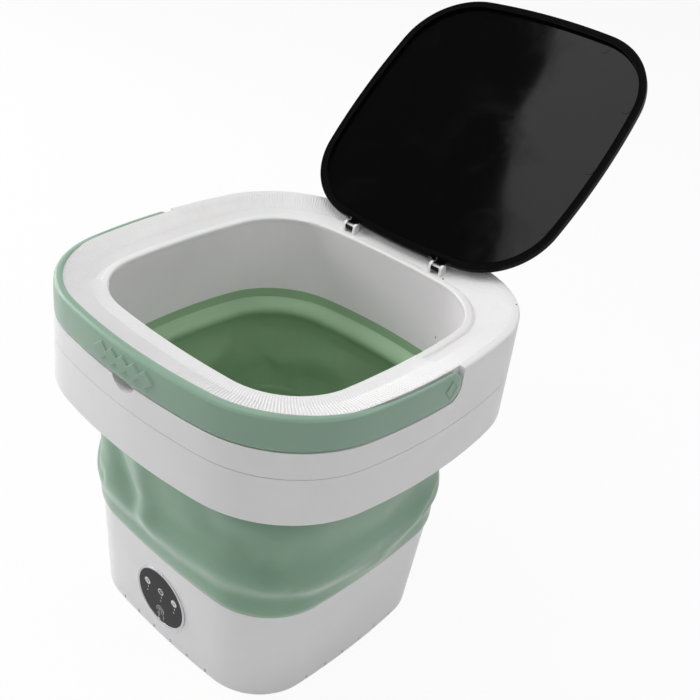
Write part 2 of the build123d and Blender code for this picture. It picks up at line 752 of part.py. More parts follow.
with BuildPart() as tub_pan:
    slab(inset(tub_floor_outline, -tub_wall), floor_under, inset(tub_step_outline, -tub_wall), flange_top)
    fillet(tub_pan.edges().group_by(Axis.Z)[0], tub_floor_round + tub_wall)
    with BuildSketch(Plane.XY.offset(ledge_height)):
        BowedSquare(*base_at(ledge_height, base_wall + tub_gap))
    extrude(amount=ledge_thickness)
    with BuildSketch(Plane.XY.offset(flange_top)):
        BowedSquare(*tub_lip_outline)
    extrude(amount=tub_lip_top - flange_top)
    with BuildSketch(Plane.XY.offset(flange_top)):
        BowedSquare(*inset(tub_lip_outline, tub_wall))
    extrude(amount=tub_lip_top - flange_top, mode=Mode.SUBTRACT)
    add(tub_inside.part, mode=Mode.SUBTRACT)
    with BuildSketch(Plane.XY.offset(floor_under)):
        Circle(bearing_flange + tub_wall)
    extrude(amount=seat_top - floor_under)
    with BuildSketch(Plane.XY.offset(floor_under)):
        Circle(shaft_radius + shaft_clearance)
    extrude(amount=wall_cut, mode=Mode.SUBTRACT)
    with BuildSketch(Plane.XY.offset(seat_top - seal_height)):
        Circle(seal_radius + running_gap)
    extrude(amount=seal_height, mode=Mode.SUBTRACT)
    with BuildSketch(Plane.XY.offset(floor_under)):
        with PolarLocations(bearing_screw_radius, 4, start_angle=45):
            Circle(screw_radius + screw_gap)
    extrude(amount=drive_seat, mode=Mode.SUBTRACT)
    with BuildSketch(back_plane(tub_floor_half - wall_cut / 2)):
        with Locations((-drain_side, drain_height)):
            Circle(spigot_radius + screw_gap)
    extrude(amount=wall_cut, mode=Mode.SUBTRACT)
    # Hollow posts that carry the plate of the motor.
    with BuildSketch(Plane.XY.offset(can_bottom)):
        with Locations((0, motor_offset)):
            with GridLocations(*motor_posts, 2, 2):
                Circle(motor_post_radius)
                Circle(screw_radius + screw_gap, mode=Mode.SUBTRACT)
    extrude(amount=floor_under - can_bottom + overlap)
finish(tub_pan.part, "tub_pan")


# Bottom cover, its screws and the feet.
foot_points = [(x * foot_spread, y * foot_spread) for x in (-1, 1) for y in (-1, 1)]
with BuildPart() as bottom_cover:
    with BuildSketch(Plane.XY.offset(cover_height)):
        BowedSquare(*base_at(cover_height, base_wall + cover_gap))
        with GridLocations(vent_pitch, 1, vent_count, 1):
            SlotOverall(vent_length, vent_width, rotation=90, mode=Mode.SUBTRACT)
        with Locations(*column_points):
            Circle(screw_radius + screw_gap, mode=Mode.SUBTRACT)
    extrude(amount=cover_thickness)
    with BuildSketch(Plane.XY.offset(cover_height)):
        with Locations(*foot_points):
            Circle(foot_radius + screw_gap)
        with Locations(*column_points):
            Circle(screw_head_radius + screw_gap)
    extrude(amount=foot_socket, mode=Mode.SUBTRACT)
finish(bottom_cover.part, "bottom_cover")

with BuildPart() as bottom_screws:
    with BuildSketch(Plane.XY.offset(cover_height + foot_socket)):
        with Locations(*column_points):
            Circle(screw_head_radius)
    extrude(amount=-foot_socket)
    with BuildSketch(Plane.XY.offset(cover_height + foot_socket)):
        with Locations(*column_points):
            Circle(screw_radius)
    extrude(amount=screw_length)
finish(bottom_screws.part, "bottom_screws")

with BuildPart() as rubber_feet:
    with BuildSketch():
        with Locations(*foot_points):
            Circle(foot_radius)
    extrude(amount=cover_height + foot_socket)
    chamfer(rubber_feet.edges().group_by(Axis.Z)[0], foot_chamfer)
finish(rubber_feet.part, "rubber_feet")


# Drive train under the tub.
barrel_bottom = floor_under - bearing_housing_length
with BuildPart() as bearing_housing:
    with BuildSketch(Plane.XY.offset(floor_under)):
        Circle(bearing_flange)
        with PolarLocations(bearing_screw_radius, 4, start_angle=45):
            Circle(screw_radius + screw_gap, mode=Mode.SUBTRACT)
    extrude(amount=-bearing_flange_thickness)
    with BuildSketch(Plane.XY.offset(floor_under)):
        Circle(bearing_barrel)
    extrude(amount=-bearing_housing_length)
    for angle in range(0, 360, 90):
        with BuildSketch(Plane.XZ.rotated((0, 0, angle))):
            Polygon((bearing_barrel - overlap, floor_under - bearing_flange_thickness),
                    (bearing_flange - overlap, floor_under - bearing_flange_thickness),
                    (bearing_barrel - overlap, floor_under - bearing_housing_length / 2), align=None)
        extrude(amount=bearing_rib / 2, both=True)
    with Locations((0, 0, floor_under)):
        CounterBoreHole(shaft_radius + shaft_clearance, bearing_radius + running_gap, bearing_width)
    with BuildSketch(Plane.XY.offset(barrel_bottom)):
        Circle(bearing_radius + running_gap)
    extrude(amount=bearing_width, mode=Mode.SUBTRACT)
finish(bearing_housing.part, "bearing_housing")

with BuildPart() as shaft_bearings:
    for bottom in (barrel_bottom, floor_under - bearing_width):
        with BuildSketch(Plane.XY.offset(bottom)):
            Circle(bearing_radius)
            Circle(shaft_radius + running_gap, mode=Mode.SUBTRACT)
        extrude(amount=bearing_width)
finish(shaft_bearings.part, "shaft_bearings")

with BuildPart() as shaft_seal:
    with BuildSketch(Plane.XY.offset(seat_top - seal_height)):
        Circle(seal_radius)
        Circle(shaft_radius + running_gap, mode=Mode.SUBTRACT)
    extrude(amount=seal_height)
finish(shaft_seal.part, "shaft_seal")

with BuildPart() as bearing_screws:
    with BuildSketch(Plane.XY.offset(floor_under - bearing_flange_thickness)):
        with PolarLocations(bearing_screw_radius, 4, start_angle=45):
            Circle(screw_head_radius)
    extrude(amount=-screw_head)
    with BuildSketch(Plane.XY.offset(floor_under - bearing_flange_thickness)):
        with PolarLocations(bearing_screw_radius, 4, start_angle=45):
            Circle(screw_radius)
    extrude(amount=bearing_flange_thickness + drive_seat - screw_gap)
finish(bearing_screws.part, "bearing_screws")

impeller_bottom = seat_top + impeller_rise
shaft_top = impeller_bottom + shaft_grip
with BuildPart() as drive_shaft:
    with BuildSketch(Plane.XY.offset(shaft_bottom)):
        Circle(shaft_radius)
    extrude(amount=shaft_top - shaft_bottom)
    chamfer(drive_shaft.edges(), shaft_chamfer)
finish(drive_shaft.part, "drive_shaft")

with BuildPart() as impeller:
    with BuildSketch(Plane.XZ):
        with BuildLine():
            Polyline((0, impeller_bottom), (impeller_radius, impeller_bottom),
                     (impeller_radius, impeller_bottom + impeller_edge))
            ThreePointArc((impeller_radius, impeller_bottom + impeller_edge),
                          (dome_middle[0], impeller_bottom + dome_middle[1]),
                          (hub_radius, impeller_bottom + impeller_dome))
            Polyline((hub_radius, impeller_bottom + impeller_dome), (0, impeller_bottom + impeller_dome),
                     (0, impeller_bottom))
        make_face()
    revolve(axis=Axis.Z)
    for fin in range(impeller_fins):
        with BuildSketch(Plane.XZ.rotated((0, 0, fin * 360 / impeller_fins))):
            with BuildLine():
                fin_start = (hub_radius - overlap, impeller_bottom + impeller_edge)
                fin_end = (impeller_radius - impeller_fin_inset, impeller_bottom + impeller_edge)
                fin_peak = (dome_middle[0], impeller_bottom + impeller_edge + impeller_fin_height)
                ThreePointArc(fin_start, fin_peak, fin_end)
                Line(fin_end, fin_start)
            make_face()
        extrude(amount=impeller_fin_width / 2, both=True)
    with Locations((0, 0, impeller_bottom + impeller_dome)):
        CounterBoreHole(screw_radius + screw_gap, screw_head_radius + 1, impeller_screw_sink)
    with BuildSketch(Plane.XY.offset(impeller_bottom)):
        Circle(shaft_radius + running_gap)
    extrude(amount=shaft_top - impeller_bottom, mode=Mode.SUBTRACT)
    with BuildSketch(Plane.XY.offset(impeller_bottom)):
        with PolarLocations(impeller_hole_place, impeller_fins, start_angle=180 / impeller_fins):
            Circle(impeller_hole_radius)
    extrude(amount=wall_cut, mode=Mode.SUBTRACT)
finish(impeller.part, "impeller")

with BuildPart() as impeller_screw:
    screw_seat = impeller_bottom + impeller_dome - impeller_screw_sink
    with BuildSketch(Plane.XY.offset(screw_seat)):
        Circle(screw_head_radius)
    extrude(amount=screw_head)
    with BuildSketch(Plane.XY.offset(screw_seat)):
        Circle(screw_radius)
    extrude(amount=shaft_top - screw_seat)
finish(impeller_screw.part, "impeller_screw")

pulley_middle = pulley_bottom + pulley_width / 2
with BuildPart() as drive_pulley:
    with BuildSketch(Plane.XY.offset(pulley_bottom)):
        Circle(pulley_radius)
        Circle(pulley_radius - pulley_rim, mode=Mode.SUBTRACT)
    extrude(amount=pulley_width)
    for edge_height in (pulley_bottom, pulley_bottom + pulley_width - pulley_flange_width):
        with BuildSketch(Plane.XY.offset(edge_height)):
            Circle(pulley_radius + pulley_flange)
            Circle(pulley_radius - pulley_rim, mode=Mode.SUBTRACT)
        extrude(amount=pulley_flange_width)
    with BuildSketch(Plane.XY.offset(pulley_middle)):
        Circle(pulley_radius - pulley_rim / 2)
        with PolarLocations(pulley_hole_place, pulley_holes):
            Circle(pulley_hole_radius, mode=Mode.SUBTRACT)
    extrude(amount=pulley_web / 2, both=True)
    with BuildSketch(Plane.XY.offset(pulley_bottom - pulley_hub_raise)):
        Circle(pulley_hub_radius)
    extrude(amount=pulley_width + 2 * pulley_hub_raise)
    with BuildSketch(Plane.XY.offset(pulley_bottom - pulley_hub_raise)):
        Circle(shaft_radius + running_gap)
    extrude(amount=pulley_width + 2 * pulley_hub_raise, mode=Mode.SUBTRACT)
finish(drive_pulley.part, "drive_pulley")

with BuildPart() as pulley_nut:
    with BuildSketch(Plane.XY.offset(shaft_bottom + shaft_chamfer)):
        RegularPolygon(nut_radius, 6)
        Circle(shaft_radius + running_gap, mode=Mode.SUBTRACT)
    extrude(amount=pulley_bottom - pulley_hub_raise - shaft_bottom - shaft_chamfer)
finish(pulley_nut.part, "pulley_nut")

with BuildPart() as motor_bracket:
    with BuildSketch(Plane.XY.offset(motor_plate_height)):
        with Locations((0, motor_offset)):
            RectangleRounded(motor_posts[0] + 2 * motor_plate_margin, motor_posts[1] + 2 * motor_plate_margin,
                             motor_plate_margin)
            Circle(motor_boss_radius + screw_gap, mode=Mode.SUBTRACT)
            with GridLocations(*motor_posts, 2, 2):
                Circle(screw_radius + screw_gap, mode=Mode.SUBTRACT)
    extrude(amount=motor_plate)
finish(motor_bracket.part, "motor_bracket")

with BuildPart() as motor_screws:
    with BuildSketch(Plane.XY.offset(motor_plate_height)):
        with Locations((0, motor_offset)):
            with GridLocations(*motor_posts, 2, 2):
                Circle(screw_head_radius)
    extrude(amount=-screw_head)
    with BuildSketch(Plane.XY.offset(motor_plate_height)):
        with Locations((0, motor_offset)):
            with GridLocations(*motor_posts, 2, 2):
                Circle(screw_radius)
    extrude(amount=screw_length)
finish(motor_screws.part, "motor_screws")

can_inside = motor_radius - motor_can_wall
can_ceiling = can_bottom + motor_height - motor_can_wall
with BuildPart() as drive_motor:
    with BuildSketch(Plane.XY.offset(can_bottom)):
        with Locations((0, motor_offset)):
            Circle(motor_radius)
    extrude(amount=motor_height)
    fillet(drive_motor.edges(), motor_round)
    with BuildSketch(Plane.XY.offset(can_bottom)):
        with Locations((0, motor_offset)):
            Circle(motor_boss_radius)
    extrude(amount=-motor_plate)
    with BuildSketch(Plane.XY.offset(can_bottom + motor_can_wall)):
        with Locations((0, motor_offset)):
            Circle(can_inside)
    extrude(amount=can_ceiling - can_bottom - motor_can_wall, mode=Mode.SUBTRACT)
    with BuildSketch(Plane.XY.offset(motor_plate_height)):
        with Locations((0, motor_offset)):
            Circle(motor_shaft_radius + running_gap)
    extrude(amount=wall_cut, mode=Mode.SUBTRACT)
finish(drive_motor.part, "drive_motor")

with BuildPart() as motor_core:
    with BuildSketch(Plane.XY.offset(can_bottom + motor_core_inset)):
        with Locations((0, motor_offset)):
            Circle(can_inside - motor_core_gap)
            Circle(motor_shaft_radius + running_gap, mode=Mode.SUBTRACT)
    extrude(amount=motor_height - 2 * motor_core_inset)
finish(motor_core.part, "motor_core")

with BuildPart() as motor_shaft:
    with BuildSketch(Plane.XY.offset(motor_shaft_bottom)):
        with Locations((0, motor_offset)):
            Circle(motor_shaft_radius)
    extrude(amount=can_ceiling - overlap - motor_shaft_bottom)
finish(motor_shaft.part, "motor_shaft")

with BuildPart() as motor_pulley:
    with BuildSketch(Plane.XY.offset(pulley_bottom)):
        with Locations((0, motor_offset)):
            Circle(motor_pulley_radius)
    extrude(amount=pulley_width)
    for edge_height in (pulley_bottom, pulley_bottom + pulley_width - pulley_flange_width):
        with BuildSketch(Plane.XY.offset(edge_height)):
            with Locations((0, motor_offset)):
                Circle(motor_pulley_radius + pulley_flange)
        extrude(amount=pulley_flange_width)
    with BuildSketch(Plane.XY.offset(pulley_bottom)):
        with Locations((0, motor_offset)):
            Circle(motor_shaft_radius + running_gap)
    extrude(amount=pulley_width, mode=Mode.SUBTRACT)
finish(motor_pulley.part, "motor_pulley")


def belt_loop(distance):
    # Outline of the belt's run, this far out from both pulleys.
    with BuildSketch(mode=Mode.PRIVATE) as loop:
        Circle(pulley_radius + distance)
        with Locations((0, motor_offset)):
            Circle(motor_pulley_radius + distance)
        make_hull()
    return loop.sketch


with BuildPart() as drive_belt:
    with BuildSketch(Plane.XY.offset(pulley_middle - belt_width / 2)):
        add(belt_loop(belt_gap + belt_thickness))
        add(belt_loop(belt_gap), mode=Mode.SUBTRACT)
    extrude(amount=belt_width)
finish(drive_belt.part, "drive_belt")


# Drain and power inlet in the back wall.
spigot_start = side_reach(tub_floor_outline, drain_side)
with BuildPart() as drain_spigot:
    with BuildSketch(back_plane(drain_seat)):
        with Locations((-drain_side, drain_height)):
            Circle(spigot_flange)
    extrude(amount=spigot_flange_thickness)
    with BuildSketch(back_plane(spigot_start)):
        with Locations((-drain_side, drain_height)):
            Circle(spigot_radius)
    extrude(amount=drain_seat - spigot_start + spigot_flange_thickness)
    with BuildSketch(back_plane(spigot_start)):
        with Locations((-drain_side, drain_height)):
            Circle(spigot_bore)
    extrude(amount=drain_seat - spigot_start + spigot_flange_thickness, mode=Mode.SUBTRACT)
finish(drain_spigot.part, "drain_spigot")

plug_seat = drain_seat + spigot_flange_thickness + screw_gap
with BuildPart() as drain_plug:
    with BuildSketch(back_plane(plug_seat)):
        with Locations((-drain_side, drain_height)):
            Circle(plug_head)
    extrude(amount=plug_head_thickness)
    fillet(drain_plug.edges().group_by(Axis.Y)[-1], plug_round)
    with BuildSketch(back_plane(plug_seat)):
        with Locations((-drain_side, drain_height)):
            Circle(spigot_bore - running_gap)
    extrude(amount=-plug_length)
    with BuildSketch(Plane.YZ.offset(drain_side)):
        with Locations((plug_seat + plug_head_thickness, drain_height)):
            Circle(plug_tab)
            Circle(plug_tab / 2, mode=Mode.SUBTRACT)
            Rectangle(4 * plug_tab, 4 * plug_tab, align=(Align.MAX, Align.CENTER), mode=Mode.SUBTRACT)
    extrude(amount=plug_tab_width / 2, both=True)
finish(drain_plug.part, "drain_plug")

with BuildPart() as power_jack:
    with BuildSketch(back_plane(jack_seat)):
        with Locations((-jack_side, jack_height)):
            Circle(jack_flange)
    extrude(amount=jack_flange_thickness)
    with BuildSketch(back_plane(jack_seat)):
        with Locations((-jack_side, jack_height)):
            Circle(jack_radius)
    extrude(amount=-jack_depth - jack_back)
    with BuildSketch(back_plane(jack_seat + jack_flange_thickness)):
        with Locations((-jack_side, jack_height)):
            Circle(jack_bore)
            Circle(jack_pin, mode=Mode.SUBTRACT)
    extrude(amount=-jack_depth, mode=Mode.SUBTRACT)
finish(power_jack.part, "power_jack")
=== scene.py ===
import json
from math import atan2, cos, exp, hypot, pi, radians, sin, sqrt

import bmesh
import bpy
from mathutils import Matrix, Vector


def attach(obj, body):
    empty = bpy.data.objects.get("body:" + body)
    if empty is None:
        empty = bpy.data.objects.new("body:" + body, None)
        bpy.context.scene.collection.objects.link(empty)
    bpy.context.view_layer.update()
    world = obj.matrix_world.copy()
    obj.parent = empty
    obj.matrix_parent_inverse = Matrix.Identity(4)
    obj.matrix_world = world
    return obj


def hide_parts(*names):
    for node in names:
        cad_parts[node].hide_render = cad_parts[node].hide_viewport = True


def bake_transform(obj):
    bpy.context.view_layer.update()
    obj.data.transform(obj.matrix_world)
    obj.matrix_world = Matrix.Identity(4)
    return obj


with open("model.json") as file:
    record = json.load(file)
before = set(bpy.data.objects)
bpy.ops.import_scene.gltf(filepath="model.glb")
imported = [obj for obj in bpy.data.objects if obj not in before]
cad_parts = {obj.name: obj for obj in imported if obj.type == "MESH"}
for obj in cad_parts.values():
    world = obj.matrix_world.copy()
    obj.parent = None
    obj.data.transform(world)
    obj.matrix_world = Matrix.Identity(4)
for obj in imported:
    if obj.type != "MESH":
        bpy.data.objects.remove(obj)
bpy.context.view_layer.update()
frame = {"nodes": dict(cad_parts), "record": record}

# Everything is in metres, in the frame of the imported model: +Z up, the front at -Y.
mm = 0.001
scene = bpy.context.scene
scene.view_settings.view_transform = "Standard"

# Small helpers


def newTree(name, kind, inputs, outputs):
    tree = bpy.data.node_groups.new(name, kind)
    for label, socketType, value in inputs:
        socket = tree.interface.new_socket(name=label, in_out="INPUT", socket_type=socketType)
        if value is not None:
            socket.default_value = value
    for label, socketType in outputs:
        tree.interface.new_socket(name=label, in_out="OUTPUT", socket_type=socketType)
    return tree, tree.nodes.new("NodeGroupInput"), tree.nodes.new("NodeGroupOutput")


def addNode(tree, kind, values=None, **settings):
    node = tree.nodes.new(kind)
    for key, value in settings.items():
        setattr(node, key, value)
    for key, value in (values or {}).items():
        node.inputs[key].default_value = value
    return node


def setInput(modifier, label, value):
    for item in modifier.node_group.interface.items_tree:
        if item.name == label and item.in_out == "INPUT":
            modifier[item.identifier] = value


def meshPiece(name, vertices, faces, material, smooth=True, sharpAngle=None):
    mesh = bpy.data.meshes.new(name)
    mesh.from_pydata([tuple(v) for v in vertices], [], faces)
    mesh.validate()
    mesh.materials.append(material)
    mesh.polygons.foreach_set("use_smooth", [smooth] * len(mesh.polygons))
    if sharpAngle is not None:
        mesh.set_sharp_from_angle(angle=radians(sharpAngle))
    piece = bpy.data.objects.new(name, mesh)
    scene.collection.objects.link(piece)
    return piece


def bakePiece(name, source, modifier):
    # The evaluated mesh becomes a plain one, and the modifier that made it goes.
    graph = bpy.context.evaluated_depsgraph_get()
    mesh = bpy.data.meshes.new_from_object(source.evaluated_get(graph))
    mesh.name = name
    source.modifiers.remove(modifier)
    bpy.data.objects.remove(source)
    piece = bpy.data.objects.new(name, mesh)
    scene.collection.objects.link(piece)
    return piece


def loftPiece(name, loops, closed, material, sharpAngle=35):
    # Section loops joined one to the next, and capped at both ends of an open run.
    count = len(loops[0])
    vertices = [point * mm for loop in loops for point in loop]
    faces = []
    for index in range(len(loops) if closed else len(loops) - 1):
        base, following = index * count, (index + 1) % len(loops) * count
        for place in range(count):
            after = (place + 1) % count
            faces.append((base + place, base + after, following + after, following + place))
    if not closed:
        faces += [list(range(count)), list(range(len(vertices) - count, len(vertices)))]
    piece = meshPiece(name, vertices, faces, material)
    work = bmesh.new()
    work.from_mesh(piece.data)
    bmesh.ops.recalc_face_normals(work, faces=work.faces)
    work.to_mesh(piece.data)
    work.free()
    piece.data.set_sharp_from_angle(angle=radians(sharpAngle))
    return piece


def easeShare(value, start, end):
    share = max(0.0, min(1.0, (value - start) / (end - start)))
    return share * share * (3 - 2 * share)


def sideJoin(half, sideRadius, cornerRadius):
    # Middle of a side's arc, middle of a corner's arc, and the angle at which the two arcs meet.
    offset = half - sideRadius
    reach = sideRadius - cornerRadius
    corner = (offset + sqrt(2 * reach ** 2 - offset ** 2)) / 2
    return offset, corner, atan2(corner, corner - offset)


def bowedSquare(half, sideRadius, cornerRadius, sideSteps=24, cornerSteps=18):
    # Points round the outline, counterclockwise, each with its outward direction.
    offset, corner, join = sideJoin(half, sideRadius, cornerRadius)
    quarter = []
    for step in range(sideSteps):
        angle = -join + 2 * join * step / sideSteps
        quarter.append((offset + sideRadius * cos(angle), sideRadius * sin(angle), angle))
    turn = pi / 2 - 2 * join
    for step in range(cornerSteps):
        angle = join + turn * step / cornerSteps
        quarter.append((corner + cornerRadius * cos(angle), corner + cornerRadius * sin(angle), angle))
    points = []
    for turnCount in range(4):
        turned = turnCount * pi / 2
        for x, y, angle in quarter:
            points.append((x * cos(turned) - y * sin(turned), x * sin(turned) + y * cos(turned),
                           angle + turned))
    return points


def grow(outline, distance):
    return tuple(value + distance for value in outline)


def smoothLevels(levels, steps):
    # A Catmull-Rom curve through outlines at rising heights.
    result = []
    count = len(levels)
    for index in range(count - 1):
        around = [levels[max(index - 1, 0)], levels[index], levels[index + 1],
                  levels[min(index + 2, count - 1)]]
        for step in range(steps):
            t = step / steps
            weights = ((-t + 2 * t ** 2 - t ** 3) / 2, (2 - 5 * t ** 2 + 3 * t ** 3) / 2,
                       (t + 4 * t ** 2 - 3 * t ** 3) / 2, (t ** 3 - t ** 2) / 2)
            result.append(tuple(sum(w * level[i] for w, level in zip(weights, around)) for i in range(4)))
    result.append(tuple(levels[-1]))
    return result


# Camera, light and background

cameraSet = {
    # Place in mm, the picture's right and up, and the way back from it, as fitted to the photograph's edges
    "place": (476.6, -532.9, 703.0), "right": (0.7026, 0.7061, 0.0883), "up": (-0.4060, 0.2959, 0.8646),
    "back": (0.5844, -0.6433, 0.4946), "lens": 52.03, "shiftX": 0.1004, "shiftY": -0.0614,
}


def makeCamera():
    data = bpy.data.cameras.new("camera")
    data.sensor_width = 36
    data.lens = cameraSet["lens"]
    data.shift_x = cameraSet["shiftX"]
    data.shift_y = cameraSet["shiftY"]
    data.clip_start = 0.01
    camera = bpy.data.objects.new("camera", data)
    axes = [Vector(cameraSet[key]).normalized() for key in ("right", "up", "back")]
    turn = Matrix((axes[0], axes[1], axes[2])).transposed()
    camera.matrix_world = Matrix.Translation(Vector(cameraSet["place"]) * mm) @ turn.to_4x4()
    scene.collection.objects.link(camera)
    scene.camera = camera


lightSet = {
    # A lamp that is level faces straight down, and the others face the aim point.
    "key": {"place": (-2.2, -0.9, 1.5), "size": 1.4, "power": 32, "shape": "DISK"},
    "leftLow": {"place": (-2.4, -0.2, 0.8), "size": 1.2, "power": 17, "shape": "DISK"},
    "front": {"place": (0.1, -2.3, 1.3), "size": 1.4, "power": 5.5, "shape": "DISK"},
    "softbox": {"place": (-0.34, -0.40, 2.4), "size": 1.4, "power": 17, "shape": "SQUARE", "level": True},
    "rearRight": {"place": (2.0, 1.0, 1.6), "size": 1.4, "power": 10.2, "shape": "DISK"},
    "rightHigh": {"place": (1.3, -0.5, 2.1), "size": 1.2, "power": 7.5, "shape": "DISK"},
    "rear": {"place": (-0.3, 1.2, 2.2), "size": 1.4, "power": 7.5, "shape": "DISK"},
}
aimPoint = Vector((0, 0.02, 0.22))
stageSet = {
    "worldLight": 0.14,
    # Height share of a reflected ray at which the walls end and the ceiling begins, and the ceiling's light
    "ceilingFrom": 0.22, "ceilingTo": 0.55, "ceilingLight": 0.10,
    "floorColor": (0.86, 0.86, 0.86, 1), "floorGlow": 0.93, "floorHalf": 6.0,
}


def makeLights():
    for name, item in lightSet.items():
        data = bpy.data.lights.new(name, "AREA")
        data.shape = item["shape"]
        data.size = item["size"]
        data.energy = item["power"]
        lamp = bpy.data.objects.new(name, data)
        place = Vector(item["place"])
        turn = Matrix()
        if not item.get("level"):
            turn = (aimPoint - place).to_track_quat("-Z", "Y").to_matrix().to_4x4()
        lamp.matrix_world = Matrix.Translation(place) @ turn
        scene.collection.objects.link(lamp)


def viewRays(tree):
    # The ray node, and a value that is 1 where a camera, mirror or glass ray asks, so that all of them meet
    # the white surround.
    path = addNode(tree, "ShaderNodeLightPath")
    first = addNode(tree, "ShaderNodeMath", operation="MAXIMUM")
    both = addNode(tree, "ShaderNodeMath", operation="MAXIMUM")
    tree.links.new(path.outputs["Is Camera Ray"], first.inputs[0])
    tree.links.new(path.outputs["Is Glossy Ray"], first.inputs[1])
    tree.links.new(first.outputs[0], both.inputs[0])
    tree.links.new(path.outputs["Is Transmission Ray"], both.inputs[1])
    return path, both.outputs[0]


def makeWorld():
    item = stageSet
    world = bpy.data.worlds.new("studio")
    scene.world = world
    world.use_nodes = True
    tree = world.node_tree
    tree.nodes.clear()
    out = addNode(tree, "ShaderNodeOutputWorld")
    ambient = addNode(tree, "ShaderNodeBackground", {"Color": (1, 1, 1, 1), "Strength": item["worldLight"]})
    white = addNode(tree, "ShaderNodeBackground", {"Color": (1, 1, 1, 1), "Strength": 1.0})
    mix = addNode(tree, "ShaderNodeMixShader")
    path, seen = viewRays(tree)
    # Reflections meet white walls, and a dim ceiling above them.
    where = addNode(tree, "ShaderNodeTexCoord")
    split = addNode(tree, "ShaderNodeSeparateXYZ")
    ceiling = addNode(tree, "ShaderNodeMapRange", {
        "From Min": item["ceilingFrom"], "From Max": item["ceilingTo"], "To Min": 1.0,
        "To Max": item["ceilingLight"]})
    wall = addNode(tree, "ShaderNodeMath", operation="MAXIMUM")
    tree.links.new(where.outputs["Generated"], split.inputs[0])
    tree.links.new(split.outputs["Z"], ceiling.inputs["Value"])
    tree.links.new(ceiling.outputs[0], wall.inputs[0])
    tree.links.new(path.outputs["Is Camera Ray"], wall.inputs[1])
    tree.links.new(wall.outputs[0], white.inputs["Strength"])
    tree.links.new(seen, mix.inputs[0])
    tree.links.new(ambient.outputs[0], mix.inputs[1])
    tree.links.new(white.outputs[0], mix.inputs[2])
    tree.links.new(mix.outputs[0], out.inputs[0])


def makeFloor():
    item = stageSet
    material = bpy.data.materials.new("floorWhite")
    material.use_nodes = True
    tree = material.node_tree
    tree.nodes.clear()
    out = addNode(tree, "ShaderNodeOutputMaterial")
    plain = addNode(tree, "ShaderNodeBsdfDiffuse", {"Color": item["floorColor"]})
    glow = addNode(tree, "ShaderNodeEmission", {"Color": (1, 1, 1, 1), "Strength": 1.0})
    mix = addNode(tree, "ShaderNodeMixShader")
    seen = viewRays(tree)[1]
    share = addNode(tree, "ShaderNodeMath", {1: item["floorGlow"]}, operation="MULTIPLY")
    tree.links.new(seen, share.inputs[0])
    tree.links.new(share.outputs[0], mix.inputs[0])
    tree.links.new(plain.outputs[0], mix.inputs[1])
    tree.links.new(glow.outputs[0], mix.inputs[2])
    tree.links.new(mix.outputs[0], out.inputs[0])
    size = item["floorHalf"]
    floor = meshPiece("floor", [(-size, -size, 0), (size, -size, 0), (size, size, 0), (-size, size, 0)],
                      [(0, 1, 2, 3)], material)


makeCamera()
makeLights()
makeWorld()
makeFloor()
print("camera, lights and floor ready")

# Shader groups shared by the finishes


def makeMouldedGroup():
    # Moulded plastic: faint flow marks in the colour, a fine spark texture and soft scuffs.
    tree, ins, outs = newTree("mouldedSurface", "ShaderNodeTree", [
        ("Color", "NodeSocketColor", (0.8, 0.8, 0.8, 1)), ("Roughness", "NodeSocketFloat", 0.4),
        ("Variation", "NodeSocketFloat", 0.04), ("Grain Size", "NodeSocketFloat", 900.0),
        ("Scuffs", "NodeSocketFloat", 0.1)],
        [("Color", "NodeSocketColor"), ("Roughness", "NodeSocketFloat"), ("Height", "NodeSocketFloat")])
    where = addNode(tree, "ShaderNodeTexCoord")
    flow = addNode(tree, "ShaderNodeTexNoise", {
        "Scale": 9.0, "Detail": 4.0, "Roughness": 0.55, "Distortion": 0.6})
    grain = addNode(tree, "ShaderNodeTexNoise", {"Detail": 2.0, "Roughness": 0.6})
    scuff = addNode(tree, "ShaderNodeTexNoise", {"Scale": 55.0, "Detail": 6.0, "Roughness": 0.7})
    dark = addNode(tree, "ShaderNodeMix", data_type="RGBA", blend_type="MULTIPLY")
    shade = addNode(tree, "ShaderNodeMapRange", {
        "From Min": 0.35, "From Max": 0.65, "To Min": 0.72, "To Max": 1.08})
    worn = addNode(tree, "ShaderNodeMapRange", {"From Min": 0.45, "From Max": 0.7})
    wornShare = addNode(tree, "ShaderNodeMath", operation="MULTIPLY")
    rough = addNode(tree, "ShaderNodeMath", operation="ADD", use_clamp=True)
    link = tree.links.new
    for texture in (flow, grain, scuff):
        link(where.outputs["Object"], texture.inputs["Vector"])
    link(ins.outputs["Grain Size"], grain.inputs["Scale"])
    link(flow.outputs["Fac"], shade.inputs["Value"])
    link(ins.outputs["Variation"], dark.inputs[0])
    link(ins.outputs["Color"], dark.inputs[6])
    link(shade.outputs[0], dark.inputs[7])
    link(scuff.outputs["Fac"], worn.inputs["Value"])
    link(worn.outputs[0], wornShare.inputs[0])
    link(ins.outputs["Scuffs"], wornShare.inputs[1])
    link(ins.outputs["Roughness"], rough.inputs[0])
    link(wornShare.outputs[0], rough.inputs[1])
    link(dark.outputs[2], outs.inputs["Color"])
    link(rough.outputs[0], outs.inputs["Roughness"])
    link(grain.outputs["Fac"], outs.inputs["Height"])
    return tree


